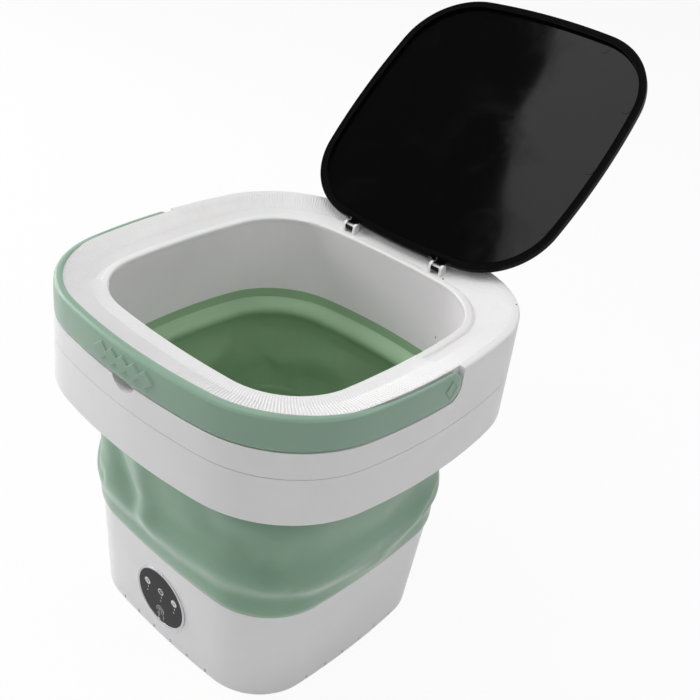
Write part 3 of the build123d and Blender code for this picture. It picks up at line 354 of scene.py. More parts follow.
def makeBrushedGroup():
    # Drawn or turned steel: long fine streaks that vary the colour and the roughness.
    tree, ins, outs = newTree("brushedSurface", "ShaderNodeTree", [
        ("Color", "NodeSocketColor", (0.6, 0.6, 0.62, 1)), ("Roughness", "NodeSocketFloat", 0.3),
        ("Streaks", "NodeSocketFloat", 0.2)],
        [("Color", "NodeSocketColor"), ("Roughness", "NodeSocketFloat"), ("Height", "NodeSocketFloat")])
    where = addNode(tree, "ShaderNodeTexCoord")
    stretch = addNode(tree, "ShaderNodeMapping", {"Scale": (1.0, 1.0, 22.0)})
    streak = addNode(tree, "ShaderNodeTexNoise", {"Scale": 180.0, "Detail": 5.0, "Roughness": 0.7})
    toneRange = addNode(tree, "ShaderNodeMapRange", {"To Min": 0.75, "To Max": 1.15})
    tone = addNode(tree, "ShaderNodeMix", data_type="RGBA", blend_type="MULTIPLY")
    share = addNode(tree, "ShaderNodeMath", operation="MULTIPLY")
    rough = addNode(tree, "ShaderNodeMath", operation="ADD", use_clamp=True)
    link = tree.links.new
    link(where.outputs["Object"], stretch.inputs["Vector"])
    link(stretch.outputs[0], streak.inputs["Vector"])
    link(streak.outputs["Fac"], toneRange.inputs["Value"])
    link(ins.outputs["Streaks"], tone.inputs[0])
    link(ins.outputs["Color"], tone.inputs[6])
    link(toneRange.outputs[0], tone.inputs[7])
    link(streak.outputs["Fac"], share.inputs[0])
    link(ins.outputs["Streaks"], share.inputs[1])
    link(ins.outputs["Roughness"], rough.inputs[0])
    link(share.outputs[0], rough.inputs[1])
    link(tone.outputs[2], outs.inputs["Color"])
    link(rough.outputs[0], outs.inputs["Roughness"])
    link(streak.outputs["Fac"], outs.inputs["Height"])
    return tree


def makePolishedGroup():
    # Gloss plastic: long soft waves that bend reflections, a few dull smears and fine dust.
    tree, ins, outs = newTree("polishedSurface", "ShaderNodeTree", [
        ("Color", "NodeSocketColor", (0.01, 0.01, 0.01, 1)), ("Roughness", "NodeSocketFloat", 0.1),
        ("Wave Size", "NodeSocketFloat", 9.0), ("Smears", "NodeSocketFloat", 0.1),
        ("Dust", "NodeSocketFloat", 0.1)],
        [("Color", "NodeSocketColor"), ("Roughness", "NodeSocketFloat"), ("Height", "NodeSocketFloat")])
    where = addNode(tree, "ShaderNodeTexCoord")
    wave = addNode(tree, "ShaderNodeTexNoise", {"Detail": 1.0, "Roughness": 0.4, "Distortion": 0.3})
    smear = addNode(tree, "ShaderNodeTexNoise", {
        "Scale": 14.0, "Detail": 4.0, "Roughness": 0.6, "Distortion": 1.2})
    smearMask = addNode(tree, "ShaderNodeMapRange", {"From Min": 0.50, "From Max": 0.75})
    smearShare = addNode(tree, "ShaderNodeMath", operation="MULTIPLY")
    rough = addNode(tree, "ShaderNodeMath", operation="ADD", use_clamp=True)
    speck = addNode(tree, "ShaderNodeTexVoronoi", {"Scale": 210.0})
    speckMask = addNode(tree, "ShaderNodeMapRange", {
        "From Min": 0.02, "From Max": 0.09, "To Min": 1.0, "To Max": 0.0})
    speckShare = addNode(tree, "ShaderNodeMath", operation="MULTIPLY")
    tone = addNode(tree, "ShaderNodeMix", {7: (0.22, 0.22, 0.22, 1)}, data_type="RGBA")
    link = tree.links.new
    for texture in (wave, smear, speck):
        link(where.outputs["Object"], texture.inputs["Vector"])
    link(ins.outputs["Wave Size"], wave.inputs["Scale"])
    link(smear.outputs["Fac"], smearMask.inputs["Value"])
    link(smearMask.outputs[0], smearShare.inputs[0])
    link(ins.outputs["Smears"], smearShare.inputs[1])
    link(ins.outputs["Roughness"], rough.inputs[0])
    link(smearShare.outputs[0], rough.inputs[1])
    link(speck.outputs["Distance"], speckMask.inputs["Value"])
    link(speckMask.outputs[0], speckShare.inputs[0])
    link(ins.outputs["Dust"], speckShare.inputs[1])
    link(speckShare.outputs[0], tone.inputs[0])
    link(ins.outputs["Color"], tone.inputs[6])
    link(tone.outputs[2], outs.inputs["Color"])
    link(rough.outputs[0], outs.inputs["Roughness"])
    link(wave.outputs["Fac"], outs.inputs["Height"])
    return tree


mouldedGroup = makeMouldedGroup()
brushedGroup = makeBrushedGroup()
polishedGroup = makePolishedGroup()


def makeFinish(name, group, groupValues, constants, bump=0.05, bumpDepth=0.0002):
    material = bpy.data.materials.new(name)
    material.use_nodes = True
    tree = material.node_tree
    shader = tree.nodes["Principled BSDF"]
    for key, value in constants.items():
        shader.inputs[key.replace("_", " ")].default_value = value
    surface = tree.nodes.new("ShaderNodeGroup")
    surface.node_tree = group
    for key, value in groupValues.items():
        surface.inputs[key].default_value = value
    relief = addNode(tree, "ShaderNodeBump", {"Strength": bump, "Distance": bumpDepth})
    tree.links.new(surface.outputs["Color"], shader.inputs["Base Color"])
    tree.links.new(surface.outputs["Roughness"], shader.inputs["Roughness"])
    tree.links.new(surface.outputs["Height"], relief.inputs["Height"])
    tree.links.new(relief.outputs[0], shader.inputs["Normal"])
    return material


def moulded(name, color, roughness, variation=0.2, grain=900.0, scuffs=0.08, bump=0.05, **constants):
    values = {"Color": (*color, 1), "Roughness": roughness, "Variation": variation, "Grain Size": grain,
              "Scuffs": scuffs}
    return makeFinish(name, mouldedGroup, values, constants, bump)


def brushed(name, color, roughness, streaks=0.25, bump=0.04):
    values = {"Color": (*color, 1), "Roughness": roughness, "Streaks": streaks}
    return makeFinish(name, brushedGroup, values, {"Metallic": 1.0}, bump)


def polished(name, color, roughness, waves=9.0, smears=0.1, dust=0.1, bump=0.6, depth=0.0006, **constants):
    values = {"Color": (*color, 1), "Roughness": roughness, "Wave Size": waves, "Smears": smears,
              "Dust": dust}
    return makeFinish(name, polishedGroup, values, constants, bump, depth)


finishes = {
    "shell_white": moulded("shellWhite", (0.83, 0.82, 0.825), 0.36, variation=0.12, bump=0.04),
    "handle_mint": moulded("handleMint", (0.268, 0.408, 0.311), 0.34, variation=0.15, Specular_IOR_Level=0.3,
                           Sheen_Weight=0.25, Sheen_Roughness=0.4),
    "bellows_green": moulded("bellowsGreen", (0.276, 0.436, 0.316), 0.34, variation=0.25, grain=500.0,
                             bump=0.06, Specular_IOR_Level=0.25, Sheen_Weight=0.5, Sheen_Roughness=0.35),
    "lid_black": polished("lidBlack", (0.0018, 0.0018, 0.0020), 0.06, waves=7.0, smears=0.10, dust=0.03,
                          bump=0.6, depth=0.0025, Specular_IOR_Level=0.16),
    "lid_edge": polished("lidEdge", (0.0018, 0.0018, 0.0020), 0.34, waves=60.0, smears=0.10, dust=0.05,
                         Specular_IOR_Level=0.03),
    "panel_black": polished("panelBlack", (0.008, 0.008, 0.009), 0.14, waves=30.0, smears=0.10, dust=0.05,
                            bump=0.2, Specular_IOR_Level=0.10),
    "bezel_silver": moulded("bezelSilver", (0.62, 0.62, 0.65), 0.24, variation=0.2, scuffs=0.05,
                            Metallic=0.4),
    # Inner collar: the shell's white plastic made brighter and with less green. This is painted light for its
    # shaded inside, and it cancels the green bounce from the sleeve.
    "collar_painted_light": moulded("collarWhitePaintedLight", (0.955, 0.895, 0.95), 0.36, variation=0.12, bump=0.04),
    # Inner faces of the bellows: a lighter copy of the same green, which is painted light for the shaded
    # inside of the sleeve.
    "sleeve_painted_light": moulded("bellowsInsidePaintedLight", (0.33, 0.50, 0.31), 0.42, variation=0.25, grain=500.0,
                             bump=0.06),
    "sign_white": moulded("signWhite", (0.80, 0.80, 0.80), 0.40, variation=0.1),
    "sign_grey": moulded("signGrey", (0.48, 0.48, 0.49), 0.45, variation=0.1),
    "board_green": moulded("boardGreen", (0.02, 0.12, 0.05), 0.35, variation=0.5, grain=300.0),
    "tub_green": moulded("tubGreen", (0.30, 0.47, 0.28), 0.35, variation=0.2),
    "impeller_green": moulded("impellerGreen", (0.32, 0.48, 0.30), 0.32, variation=0.2),
    "inner_plastic": moulded("innerPlastic", (0.03, 0.03, 0.033), 0.45, variation=0.3),
    "screw_steel": brushed("screwSteel", (0.55, 0.55, 0.57), 0.28),
    "bearing_steel": brushed("bearingSteel", (0.60, 0.60, 0.62), 0.20),
    "plate_steel": brushed("plateSteel", (0.52, 0.53, 0.54), 0.34, streaks=0.4),
    "motor_can": moulded("motorCan", (0.07, 0.075, 0.085), 0.35, variation=0.3, Metallic=0.6),
    "foot_rubber": moulded("footRubber", (0.02, 0.02, 0.02), 0.75, variation=0.3, bump=0.12),
    "belt_rubber": moulded("beltRubber", (0.012, 0.012, 0.012), 0.7, variation=0.3, bump=0.12),
    "plug_rubber": moulded("plugRubber", (0.25, 0.385, 0.285), 0.55, variation=0.25, bump=0.08),
}
print("finishes ready")

# CAD nodes: their loose triangles are joined and shaded smooth below an edge angle


def makeSmoothTree():
    tree, ins, outs = newTree("smoothSkin", "GeometryNodeTree", [
        ("Geometry", "NodeSocketGeometry", None), ("Join Distance", "NodeSocketFloat", 0.000004),
        ("Edge Angle", "NodeSocketFloat", radians(28))], [("Geometry", "NodeSocketGeometry")])
    join = addNode(tree, "GeometryNodeMergeByDistance")
    angle = addNode(tree, "GeometryNodeInputMeshEdgeAngle")
    sharp = addNode(tree, "FunctionNodeCompare", data_type="FLOAT", operation="LESS_EQUAL")
    faces = addNode(tree, "GeometryNodeSetShadeSmooth", {"Shade Smooth": True}, domain="FACE")
    edges = addNode(tree, "GeometryNodeSetShadeSmooth", domain="EDGE")
    link = tree.links.new
    link(ins.outputs["Geometry"], join.inputs["Geometry"])
    link(ins.outputs["Join Distance"], join.inputs["Distance"])
    link(join.outputs[0], faces.inputs["Geometry"])
    link(faces.outputs[0], edges.inputs["Geometry"])
    link(angle.outputs["Unsigned Angle"], sharp.inputs[0])
    link(ins.outputs["Edge Angle"], sharp.inputs[1])
    link(sharp.outputs[0], edges.inputs["Shade Smooth"])
    link(edges.outputs[0], outs.inputs[0])
    return tree


smoothTree = makeSmoothTree()
# The inner collar takes the brighter copy of the white, which is painted light.
finishOf = {"inner_collar": "collar_painted_light"}
slotOf = {item["node"]: item["material_slot"] for item in frame["record"]["subparts"]}
for nodeName, node in frame["nodes"].items():
    node.data.materials.clear()
    node.data.materials.append(finishes[finishOf.get(nodeName, slotOf[nodeName])])
    modifier = node.modifiers.new("smoothSkin", "NODES")
    modifier.node_group = smoothTree
print("CAD nodes dressed:", len(frame["nodes"]))

# Bellows: soft sleeve with the creases that unfolding leaves

bellowsSet = {
    "wall": 2.0, "levelSteps": 9, "steps": (56, 44), "sharpAngle": 50,
    # Height, and the outline as half width, side radius and corner radius
    "levels": (
        (99.6, 124.6, 800.0, 62.5),
        (104.0, 126.0, 795.0, 63.2),
        (110.0, 126.2, 775.0, 63.6),
        (117.0, 126.0, 750.0, 64.4),
        (124.0, 127.3, 725.0, 65.4),
        (131.0, 129.2, 700.0, 66.4),
        (138.0, 130.2, 680.0, 67.2),
        (145.0, 129.8, 655.0, 68.0),
        (155.0, 128.8, 620.0, 69.0),
        (170.0, 128.9, 585.0, 70.2),
        (190.0, 128.6, 540.0, 71.5),
        (201.9, 126.4, 500.0, 72.0),
        (210.9, 122.8, 480.0, 70.5),
        (217.1, 125.0, 455.0, 73.5),
        (223.4, 131.2, 430.0, 78.6),
        (225.6, 132.0, 422.0, 79.4),
        (233.4, 132.0, 422.0, 79.4),
    ),
    # A fold is a line on the sleeve, its width, and how far it lifts the wall or, below 0, sinks it.
    "folds": (
        (((-92, -114, 126), (-60, -124, 127), (-30, -127, 132), (-13, -128, 134)), 14, 2.2),
        (((-24, -128, 190), (-21, -128, 166), (-13, -128, 142), (2, -128, 132), (25, -127, 131),
          (61, -125, 139), (87, -118, 142), (104, -106, 139)), 14, 3.2),
        (((104, -106, 139), (118, -88, 134), (126, -44, 125), (128, 2, 115), (127, 34, 125), (125, 59, 142),
          (122, 78, 154)), 10, 3.0),
        (((-70, -124, 184), (-54, -126, 166), (-42, -127, 151), (-32, -128, 144)), 13, -4.4),
        (((58, -126, 176), (84, -119, 173), (99, -110, 159), (110, -99, 152)), 16, -2.8),
        (((118, -86, 164), (126, -50, 162), (128, 4, 151), (127, 40, 164)), 16, -2.6),
        (((103, -107, 154), (111, -97, 146), (115, -91, 136)), 7, -3.2),
        (((-100, -108, 146), (-90, -117, 137), (-80, -121, 136)), 8, -3.6),
        (((125, 64, 134), (123, 74, 141), (112, 96, 150)), 8, -4.0),
        (((88, -118, 116), (105, -104, 117), (117, -88, 115)), 9, -2.2),
        (((100, 109, 128), (60, 125, 130), (24, 128, 138), (-20, 128, 132), (-70, 124, 130)), 10, 3.0),
        (((66, 124, 172), (36, 127, 156), (24, 128, 150)), 11, -4.0),
        (((-40, 127, 168), (-78, 121, 158), (-98, 111, 150)), 15, -2.8),
        (((-112, 98, 142), (-124, 60, 130), (-128, 10, 126), (-127, -40, 134), (-118, -88, 132)), 10, 3.0),
        (((-126, 50, 170), (-128, 10, 158), (-127, -34, 166)), 14, -3.2),
    ),
    "foldReach": 3, "swell": 0.8, "swellTurns": 3, "swellHeight": 17.0,
    "foldTop": 216.0, "foldFade": 18.0, "footFade": 10.0,
    # The inner wall runs straight behind the folds: its height and half width at the foot, its lean, the
    # height where it ends, and its share of a raised fold.
    "innerFrom": (104.0, 126.0), "innerLean": 0.0302, "innerBelow": 200.0, "innerLift": 0.3,
}


def lineDistance(point, line):
    distances = []
    for start, end in zip(line, line[1:]):
        a, b = Vector(start), Vector(end)
        along = b - a
        share = max(0.0, min(1.0, (point - a).dot(along) / along.length_squared))
        distances.append((point - a - along * share).length)
    return min(distances)


def foldLift(point):
    total = 0.0
    for line, width, lift in bellowsSet["folds"]:
        distance = lineDistance(point, line)
        if distance < bellowsSet["foldReach"] * width:
            total += lift * exp(-(distance / width) ** 2)
    return total


def makeBellows():
    item = bellowsSet
    levels = smoothLevels(item["levels"], item["levelSteps"])
    around = 4 * sum(item["steps"])
    low, high = levels[0][0], levels[-1][0]
    vertices, faces, rings = [], [], []
    innerLow, innerHalf = item["innerFrom"]
    for wall in (0.0, item["wall"]):
        for height, half, *bow in levels:
            if wall and height < item["innerBelow"]:
                half = min(half, innerHalf + item["innerLean"] * (height - innerLow))
            ring = []
            fade = min(1.0, (height - low) / item["footFade"],
                       max(0.0, (item["foldTop"] - height) / item["foldFade"]))
            for x, y, angle in bowedSquare(*grow((half, *bow), -wall), *item["steps"]):
                point = Vector((x, y, height))
                if fade > 0:
                    wave = sin(item["swellTurns"] * angle + height / item["swellHeight"])
                    swell = item["swell"] * wave * sin(pi * (height - low) / (high - low))
                    lift = foldLift(point)
                    if wall:
                        lift = min(lift, item["innerLift"] * lift)
                    shift = fade * (swell + lift)
                    point += Vector((cos(angle), sin(angle), 0)) * shift
                ring.append(len(vertices))
                vertices.append(point * mm)
            rings.append(ring)
    count = len(levels)
    order = rings[:count] + rings[count:][::-1]
    for index, ring in enumerate(order):
        following = order[(index + 1) % len(order)]
        for place in range(around):
            after = (place + 1) % around
            faces.append((ring[place], ring[after], following[after], following[place]))
    piece = meshPiece("bellowsSleeve", vertices, faces, finishes["bellows_green"],
                      sharpAngle=item["sharpAngle"])
    # The inner wall's faces take the lighter copy of the green, which is painted light.
    piece.data.materials.append(finishes["sleeve_painted_light"])
    for face in piece.data.polygons:
        face.material_index = 1 if count <= face.index // around < 2 * count - 1 else 0
    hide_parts("bellows")
    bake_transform(piece)


makeBellows()
print("bellows ready")

# Deck: a smooth filling up to the bead at the front, and fine ridges made with geometry nodes

deckSet = {
    # The filling rises between these front scores, and elsewhere lies sunk in the deck. The lean turns the
    # score towards the right side.
    "opening": (122.5, 700.0, 62.5), "steps": (60, 44), "fadeFrom": 15.0, "fadeTo": 85.0, "lean": 0.5,
    # Section of the filling: out from the opening, and height
    "filling": ((-0.06, 308.3), (0.05, 309.0), (0.6, 309.5), (1.9, 309.65), (5.1, 309.66), (7.0, 309.68),
                (10.5, 309.8), (14.5, 310.15), (14.5, 309.3), (7.0, 306.6), (3.0, 308.4), (0.5, 307.6)),
    "sunk": 1.6,
    # Middle line of a ridge: outline and height at each stage
    "rings": (
        ((158.5, 508.4, 91.6), 317.35), ((150.0, 566.6, 85.1), 314.20), ((140.5, 631.7, 77.9), 310.74),
        ((135.0, 669.3, 73.7), 308.90), ((130.0, 707.0, 70.0), 308.66), ((124.9, 702.4, 64.9), 308.62),
        ((123.4, 700.9, 63.4), 308.20), ((123.0, 700.5, 63.0), 307.20),
    ),
    # Rings that a ridge at the back passes, and the front score from which a ridge passes them all
    "backRings": 3, "frontFrom": 62.0,
    "ringSteps": (90, 90), "pitch": 2.45, "ridgeRadius": 1.2, "sides": 12,
}


def frontScore(x, y):
    # High at the front and on the front half of the right side, where the ridges cross the bead.
    return deckSet["lean"] * x - y


def makeDeckFilling():
    item = deckSet
    loops = []
    for x, y, angle in bowedSquare(*item["opening"], *item["steps"]):
        share = easeShare(frontScore(x, y), item["fadeFrom"], item["fadeTo"])
        sunk = item["sunk"] * (1 - share)
        out = Vector((cos(angle), sin(angle), 0))
        loops.append([Vector((x, y, 0)) + out * max(step, sunk) + Vector((0, 0, height - sunk))
                      for step, height in item["filling"]])
    piece = loftPiece("deckFilling", loops, True, finishes["shell_white"])
    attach(piece, "rim")


def makeRidgeTree():
    tree, ins, outs = newTree("deckRidges", "GeometryNodeTree", [
        ("Geometry", "NodeSocketGeometry", None), ("Ridge Radius", "NodeSocketFloat", 0.0006),
        ("Sides", "NodeSocketInt", 8), ("Finish", "NodeSocketMaterial", None)],
        [("Geometry", "NodeSocketGeometry")])
    curves = addNode(tree, "GeometryNodeMeshToCurve")
    circle = addNode(tree, "GeometryNodeCurvePrimitiveCircle")
    sweep = addNode(tree, "GeometryNodeCurveToMesh", {"Fill Caps": True})
    realize = addNode(tree, "GeometryNodeRealizeInstances")
    smooth = addNode(tree, "GeometryNodeSetShadeSmooth", {"Shade Smooth": True}, domain="FACE")
    paint = addNode(tree, "GeometryNodeSetMaterial")
    link = tree.links.new
    link(ins.outputs["Geometry"], curves.inputs[0])
    link(ins.outputs["Sides"], circle.inputs["Resolution"])
    link(ins.outputs["Ridge Radius"], circle.inputs["Radius"])
    link(curves.outputs[0], sweep.inputs["Curve"])
    link(circle.outputs[0], sweep.inputs["Profile Curve"])
    link(sweep.outputs[0], realize.inputs[0])
    link(realize.outputs[0], smooth.inputs[0])
    link(smooth.outputs[0], paint.inputs["Geometry"])
    link(ins.outputs["Finish"], paint.inputs["Material"])
    link(paint.outputs[0], outs.inputs[0])
    return tree


def measureOutline(points):
    # The length round an outline up to each of its points, and back to the first.
    lengths = [0.0]
    for first, second in zip(points, points[1:] + points[:1]):
        lengths.append(lengths[-1] + hypot(second[0] - first[0], second[1] - first[1]))
    return lengths


def makeDeckRidges():
    # Each ridge runs from the crest down to the bead, and at the front on over the bead.
    item = deckSet
    rings = [(bowedSquare(*outline, *item["ringSteps"]), height) for outline, height in item["rings"]]
    # The pitch is set on the second ring, with as many ridges on each of the four sides.
    fine = rings[1][0]
    lengths = measureOutline(fine)
    count = int(lengths[-1] / item["pitch"] / 4) * 4
    vertices, edges, place = [], [], 0
    for index in range(count):
        wanted = lengths[-1] * (index + 0.5) / count
        while lengths[place + 1] < wanted:
            place += 1
        share = (wanted - lengths[place]) / (lengths[place + 1] - lengths[place])
        after = (place + 1) % len(fine)
        used = len(rings) if frontScore(*fine[place][:2]) > item["frontFrom"] else item["backRings"]
        for step, (ring, height) in enumerate(rings[:used]):
            x = ring[place][0] + (ring[after][0] - ring[place][0]) * share
            y = ring[place][1] + (ring[after][1] - ring[place][1]) * share
            if step:
                edges.append((len(vertices) - 1, len(vertices)))
            vertices.append(Vector((x, y, height)) * mm)
    mesh = bpy.data.meshes.new("deckLines")
    mesh.from_pydata(vertices, edges, [])
    source = bpy.data.objects.new("deckLines", mesh)
    scene.collection.objects.link(source)
    modifier = source.modifiers.new("deckRidges", "NODES")
    modifier.node_group = makeRidgeTree()
    setInput(modifier, "Ridge Radius", item["ridgeRadius"] * mm)
    setInput(modifier, "Sides", item["sides"])
    setInput(modifier, "Finish", finishes["shell_white"])
    piece = bakePiece("deckRidges", source, modifier)
    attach(piece, "rim")


makeDeckFilling()
makeDeckRidges()
print("deck filling and ridges ready")

# Raised plates and strokes, for the marks on the handle and the signs on the panel


def arcPoints(x, up, radius, start, end, steps):
    return [(x + radius * cos(radians(start + (end - start) * step / steps)),
             up + radius * sin(radians(start + (end - start) * step / steps))) for step in range(steps + 1)]


def circlePoints(x, up, radius, steps):
    return arcPoints(x, up, radius, 0, 360, steps)[:-1]


class RaisedSheet:
    # Thin plates and strokes on a surface, which place(x, up, height) describes. They start at height low.
    def __init__(self, place, low):
        self.place, self.low = place, low
        self.vertices, self.faces, self.kinds = [], [], []

    def plate(self, outline, kind, height, top=None, tilt=0.0):
        base = len(self.vertices)
        count = len(outline)
        middle = sum(x for x, up in outline) / count
        self.vertices += [self.place(x, up, self.low) for x, up in outline]
        self.vertices += [self.place(x, up, height + tilt * (middle - x)) for x, up in top or outline]
        self.faces.append([base + count + index for index in range(count)])
        self.faces.append([base + count - 1 - index for index in range(count)])
        for index in range(count):
            after = (index + 1) % count
            self.faces.append([base + index, base + after, base + count + after, base + count + index])
        self.kinds += [kind] * (count + 2)

    def line(self, path, width, kind, height):
        # A stroke of steady width along an open path, one plate for each stretch.
        for (x0, y0), (x1, y1) in zip(path, path[1:]):
            length = hypot(x1 - x0, y1 - y0)
            sideX, sideY = -(y1 - y0) / length * width / 2, (x1 - x0) / length * width / 2
            self.plate([(x0 - sideX, y0 - sideY), (x1 - sideX, y1 - sideY), (x1 + sideX, y1 + sideY),
                        (x0 + sideX, y0 + sideY)], kind, height)

    def rhombus(self, x, up, halfSize, width, height, slope):
        # A raised outline with sloping sides.
        wide, tall = halfSize
        edge = wide * tall / hypot(wide, tall)
        scales = [(1.0, 1 - width / edge), (1 - slope / edge, 1 - (width - slope) / edge)]
        corners = [(-1, 0), (0, -1), (1, 0), (0, 1)]
        for start, stop in zip(corners, corners[1:] + corners[:1]):
            low, high = [[(x + px * wide * scale, up + py * tall * scale) for (px, py), scale in
                          ((start, outer), (stop, outer), (stop, inner), (start, inner))]
                         for outer, inner in scales]
            self.plate(low, 0, height, high)


# Handle: a rounded cover round its three sides, and raised marks on it

handleSet = {
    "outline": (165.0, 500.0, 97.6), "steps": (56, 44), "pivot": 305.8, "fadeFrom": -150.0, "fadeTo": -17.0,
    # Section of the cover: out from the rim's outline, and up from the pivot
    "section": ((-1.6, -12.66), (-0.6, -12.58), (0.02, -12.2), (0.30, -11.4), (0.40, -9.0), (0.50, -5.0),
                (0.55, 0.0), (0.52, 5.0), (0.42, 9.2), (0.14, 11.3), (-0.40, 12.4), (-1.20, 13.25),
                (-2.20, 13.85), (-3.60, 14.2), (-4.90, 14.2), (-5.90, 14.05), (-6.60, 13.75), (-6.80, 13.5),
                (-6.60, 13.3), (-4.9, 13.7), (-3.9, 13.2), (-3.2, 12.0), (-2.0, 0.0), (-2.0, -12.0)),
    # Towards the pivots the cover shrinks into the solid: the solid's middle, outer and inner face, its half
    # height, and how far its thickness and height shrink
    "core": (-1.7, 0.1, -3.3, 12.2), "coreShrink": (0.75, 0.93),
    "grips": 5, "gripPitch": 12.4, "gripUp": 1.0, "gripHalf": (9.2, 8.0), "gripTop": 0.88, "gripHeight": 1.9,
    "gripStep": 0.06, "gripTilt": 0.05,
    "markFoot": 0.3, "markHalf": (7.1, 8.5), "markHeight": 1.1, "markWidth": 1.5, "markSlope": 0.5,
}


def handlePoint(turn):
    item = handleSet
    half, sideRadius = item["outline"][:2]

    def place(along, up, height):
        out = half - sideRadius + sqrt(sideRadius ** 2 - along ** 2) + height
        x, y = ((along, -out), (out, along), (-out, -along))[turn]
        return Vector((x, y, item["pivot"] + up)) * mm
    return place


def makeHandleCover():
    item = handleSet
    middle, outer, inner, tall = item["core"]
    points = bowedSquare(*item["outline"], *item["steps"])
    half = len(points) // 2
    loops = []
    for x, y, angle in points[half:] + points[:half]:
        if y > item["fadeTo"]:
            continue
        share = easeShare(y, item["fadeFrom"], item["fadeTo"])
        loop = []
        for out, up in item["section"]:
            coreOut = middle + (max(min(out, outer), inner) - middle) * item["coreShrink"][0]
            coreUp = max(min(up, tall), -tall) * item["coreShrink"][1]
            out, up = out + (coreOut - out) * share, up + (coreUp - up) * share
            loop.append(Vector((x + out * cos(angle), y + out * sin(angle), item["pivot"] + up)))
        loops.append(loop)
    piece = loftPiece("handleCover", loops, False, finishes["handle_mint"])
    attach(piece, "handle")


def makeHandleMarks():
    # Five rhombi at the grip, each lapping over the one before, and an outline at each pivot.
    item = handleSet
    wide, tall = item["gripHalf"]
    sheet = RaisedSheet(handlePoint(0), item["markFoot"])
    for index in range(item["grips"]):
        x, up = (index - (item["grips"] - 1) / 2) * item["gripPitch"], item["gripUp"]
        corners, top = [[(x - wide * scale, up), (x, up - tall * scale), (x + wide * scale, up),
                         (x, up + tall * scale)] for scale in (1.0, item["gripTop"])]
        sheet.plate(corners, 0, item["gripHeight"] + index * item["gripStep"], top, item["gripTilt"])
    for turn in (1, 2):
        sheet.place = handlePoint(turn)
        sheet.rhombus(0, 0, item["markHalf"], item["markWidth"], item["markHeight"], item["markSlope"])
    piece = meshPiece("handleMarks", sheet.vertices, sheet.faces, finishes["handle_mint"], smooth=False)
    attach(piece, "handle")


makeHandleCover()
makeHandleMarks()
print("handle ready")

# Lid: a matt border round the lid's inner side

lidSet = {
    "outline": (129.5, 640.0, 69.0), "steps": (80, 40), "hinge": (0, 132.5, 314.4),
    "angle": 137.0, "under": -4.5,
    # Section: in from the outline, and out of the border's face
    "section": ((-0.15, -4.7), (-0.15, -0.2), (0.1, 0.04), (6.3, 0.04), (6.52, -0.05), (6.55, -3.4),
                (6.3, -3.4), (6.2, -0.3), (1.0, -0.4), (0.8, -4.7)),
    # The least inset, which has no effect away from the hinge hooks, and the deeper one round the two hooks
    "inset": -1.0, "relief": 49.5, "reliefWidth": 11.0, "reliefPower": 8, "reliefDepth": 3.3,
}


def lidPoint(x, y, out):
    item = lidSet
    angle = radians(item["angle"])
    yAxis, zAxis = Vector((0, cos(angle), -sin(angle))), Vector((0, sin(angle), cos(angle)))
    hinge = Vector(item["hinge"])
    return hinge + Vector((x, 0, 0)) + yAxis * (y - hinge.y) + zAxis * (item["under"] - out)


def makeLidBorder():
    item = lidSet
    loops = []
    for x, y, angle in bowedSquare(*item["outline"], *item["steps"]):
        least = item["inset"]
        if y > 0:
            fromHook = (abs(x) - item["relief"]) / item["reliefWidth"]
            least += (item["reliefDepth"] - item["inset"]) * exp(-fromHook ** item["reliefPower"])
        loops.append([lidPoint(x - max(inset, least) * cos(angle), y - max(inset, least) * sin(angle), out)
                      for inset, out in item["section"]])
    piece = loftPiece("lidBorder", loops, True, finishes["lid_edge"])
    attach(piece, "lid")


makeLidBorder()
print("lid border ready")

# Pin holes: three small dark discs on the deck and in the collar, thin plates with no hole behind them, as
# painted shade for the holes' depth

pinSet = {
    "radius": 0.8, "proud": 0.05, "steps": 16,
    # Place and direction of each hole
    "holes": (((59.65, 128.94, 308.36), (-0.031, -0.359, 0.933)), ((133.75, 126.02, 318.9), (0, 0, 1)),
              ((67.39, 122.65, 255.82), (-0.226, -0.972, -0.059))),
}


def pinPoint(place, direction):
    out = Vector(direction).normalized()
    side = out.orthogonal().normalized()
    across = out.cross(side)

    def point(x, up, height):
        return (Vector(place) + out * height + side * x + across * up) * mm
    return point


def makePinHoleShade():
    item = pinSet
    sheet = RaisedSheet(None, -item["proud"])
    for place, direction in item["holes"]:
        sheet.place = pinPoint(place, direction)
        sheet.plate(circlePoints(0, 0, item["radius"], item["steps"]), 0, item["proud"])
    # The dark inner plastic on these discs is painted shade where the holes would be dark.
    piece = meshPiece("pinHoleShade", sheet.vertices, sheet.faces, finishes["inner_plastic"], smooth=False)
    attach(piece, "rim")


makePinHoleShade()
print("pin holes ready")

# Signs on the touch panel: thin raised print with three keys and a touch sign

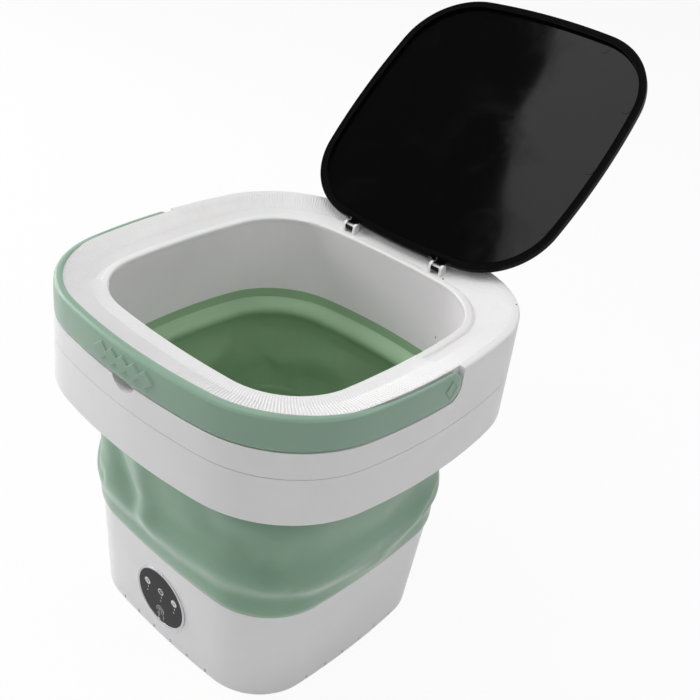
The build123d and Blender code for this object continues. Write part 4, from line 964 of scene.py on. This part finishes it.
panelSet = {
    # The panel's face: how far it stands away, the height of its middle, and its lean
    "away": 117.832, "middle": 58.36, "tilt": 0.0675, "foot": -0.02, "print": 0.06, "glyph": 0.10,
    "steps": 40, "thin": 0.6,
    # Middles of the three keys: power, clock and pause
    "keys": ((-17.2, 7.95), (0.5, 7.85), (17.8, 7.55)), "keyRadius": 3.5,
    "powerArc": (1.5, 125, 415), "powerBar": ((0, 2.0), (0, 0.2)),
    "clockRadius": 3.0, "clockWidth": 1.0, "clockHands": ((0, 1.5), (0, 0), (1.1, -0.7)),
    "pauseSides": (-0.8, 0.8), "pauseHalf": 1.3, "pauseWidth": 0.7,
    "dash": ((0.8, -5.2), (0.8, -7.6)), "dashWidth": 0.7,
    "lamp": (-0.4, -11.3, 0.8), "lampSteps": 16,
    # A pointing finger with its tip's arc, the thumb, two arcs round the tip, and a small plate under them
    "touch": (-1.0, -17.5), "finger": ((-1.4, -6.5), (-1.4, 1.5)), "tip": (1.5, 1.4, 170, 10), "tipSteps": 12,
    "hand": ((1.4, -2.2), (3.6, -2.8), (4.4, -4.4), (3.8, -7.6)),
    "thumb": ((-1.4, -3.4), (-3.4, -3.0), (-3.6, -4.2), (-1.8, -7.6)),
    "touchArcs": (3.1, 4.8), "touchArcEnds": (-25, 205),
    "tab": (-3.0, -27.6), "tabOutline": ((-1.9, -0.9), (1.9, -0.6), (1.3, 0.8), (-1.3, 0.8)),
}


def panelPoint(x, up, height):
    item = panelSet
    away, rise = item["away"] + height, item["middle"] + up
    lean = sqrt(1 - item["tilt"] ** 2)
    return Vector((x, -lean * away - item["tilt"] * rise, -item["tilt"] * away + lean * rise)) * mm


def shifted(points, x, up):
    return [(x + right, up + above) for right, above in points]


def makePanelSigns():
    item = panelSet
    sheet = RaisedSheet(panelPoint, item["foot"])
    white, grey, black, silver = range(4)
    flat, raised, thin, steps = item["print"], item["glyph"], item["thin"], item["steps"]
    for number, (x, up) in enumerate(item["keys"]):
        if number == 1:
            sheet.line(arcPoints(x, up, item["clockRadius"], 0, 360, steps), item["clockWidth"], white, flat)
            sheet.line(shifted(item["clockHands"], x, up), thin, white, flat)
        else:
            sheet.plate(circlePoints(x, up, item["keyRadius"], steps), white, flat)
        if number == 0:
            sheet.line(arcPoints(x, up, *item["powerArc"], steps), thin, black, raised)
            sheet.line(shifted(item["powerBar"], x, up), thin, black, raised)
        if number == 2:
            for side in item["pauseSides"]:
                bar = [(side, -item["pauseHalf"]), (side, item["pauseHalf"])]
                sheet.line(shifted(bar, x, up), item["pauseWidth"], black, raised)
        sheet.line(shifted(item["dash"], x, up), item["dashWidth"], white, flat)
        offset, drop, radius = item["lamp"]
        sheet.plate(circlePoints(x + offset, up + drop, radius, item["lampSteps"]), grey, flat)
    x, up = item["touch"]
    rise, radius, start, end = item["tip"]
    finger = [*item["finger"], *arcPoints(0, rise, radius, start, end, item["tipSteps"]), *item["hand"]]
    sheet.line(shifted(finger, x, up), thin, grey, flat)
    sheet.line(shifted(item["thumb"], x, up), thin, grey, flat)
    for radius in item["touchArcs"]:
        sheet.line(arcPoints(x, up + rise, radius, *item["touchArcEnds"], steps // 2), thin, grey, flat)
    sheet.plate(shifted(item["tabOutline"], *item["tab"]), silver, raised)
    piece = meshPiece("panelSigns", sheet.vertices, sheet.faces, finishes["sign_white"], smooth=False)
    for slot in ("sign_grey", "panel_black", "bezel_silver"):
        piece.data.materials.append(finishes[slot])
    for face, kind in zip(piece.data.polygons, sheet.kinds):
        face.material_index = kind
    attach(piece, "base")


makePanelSigns()
print("panel signs ready")
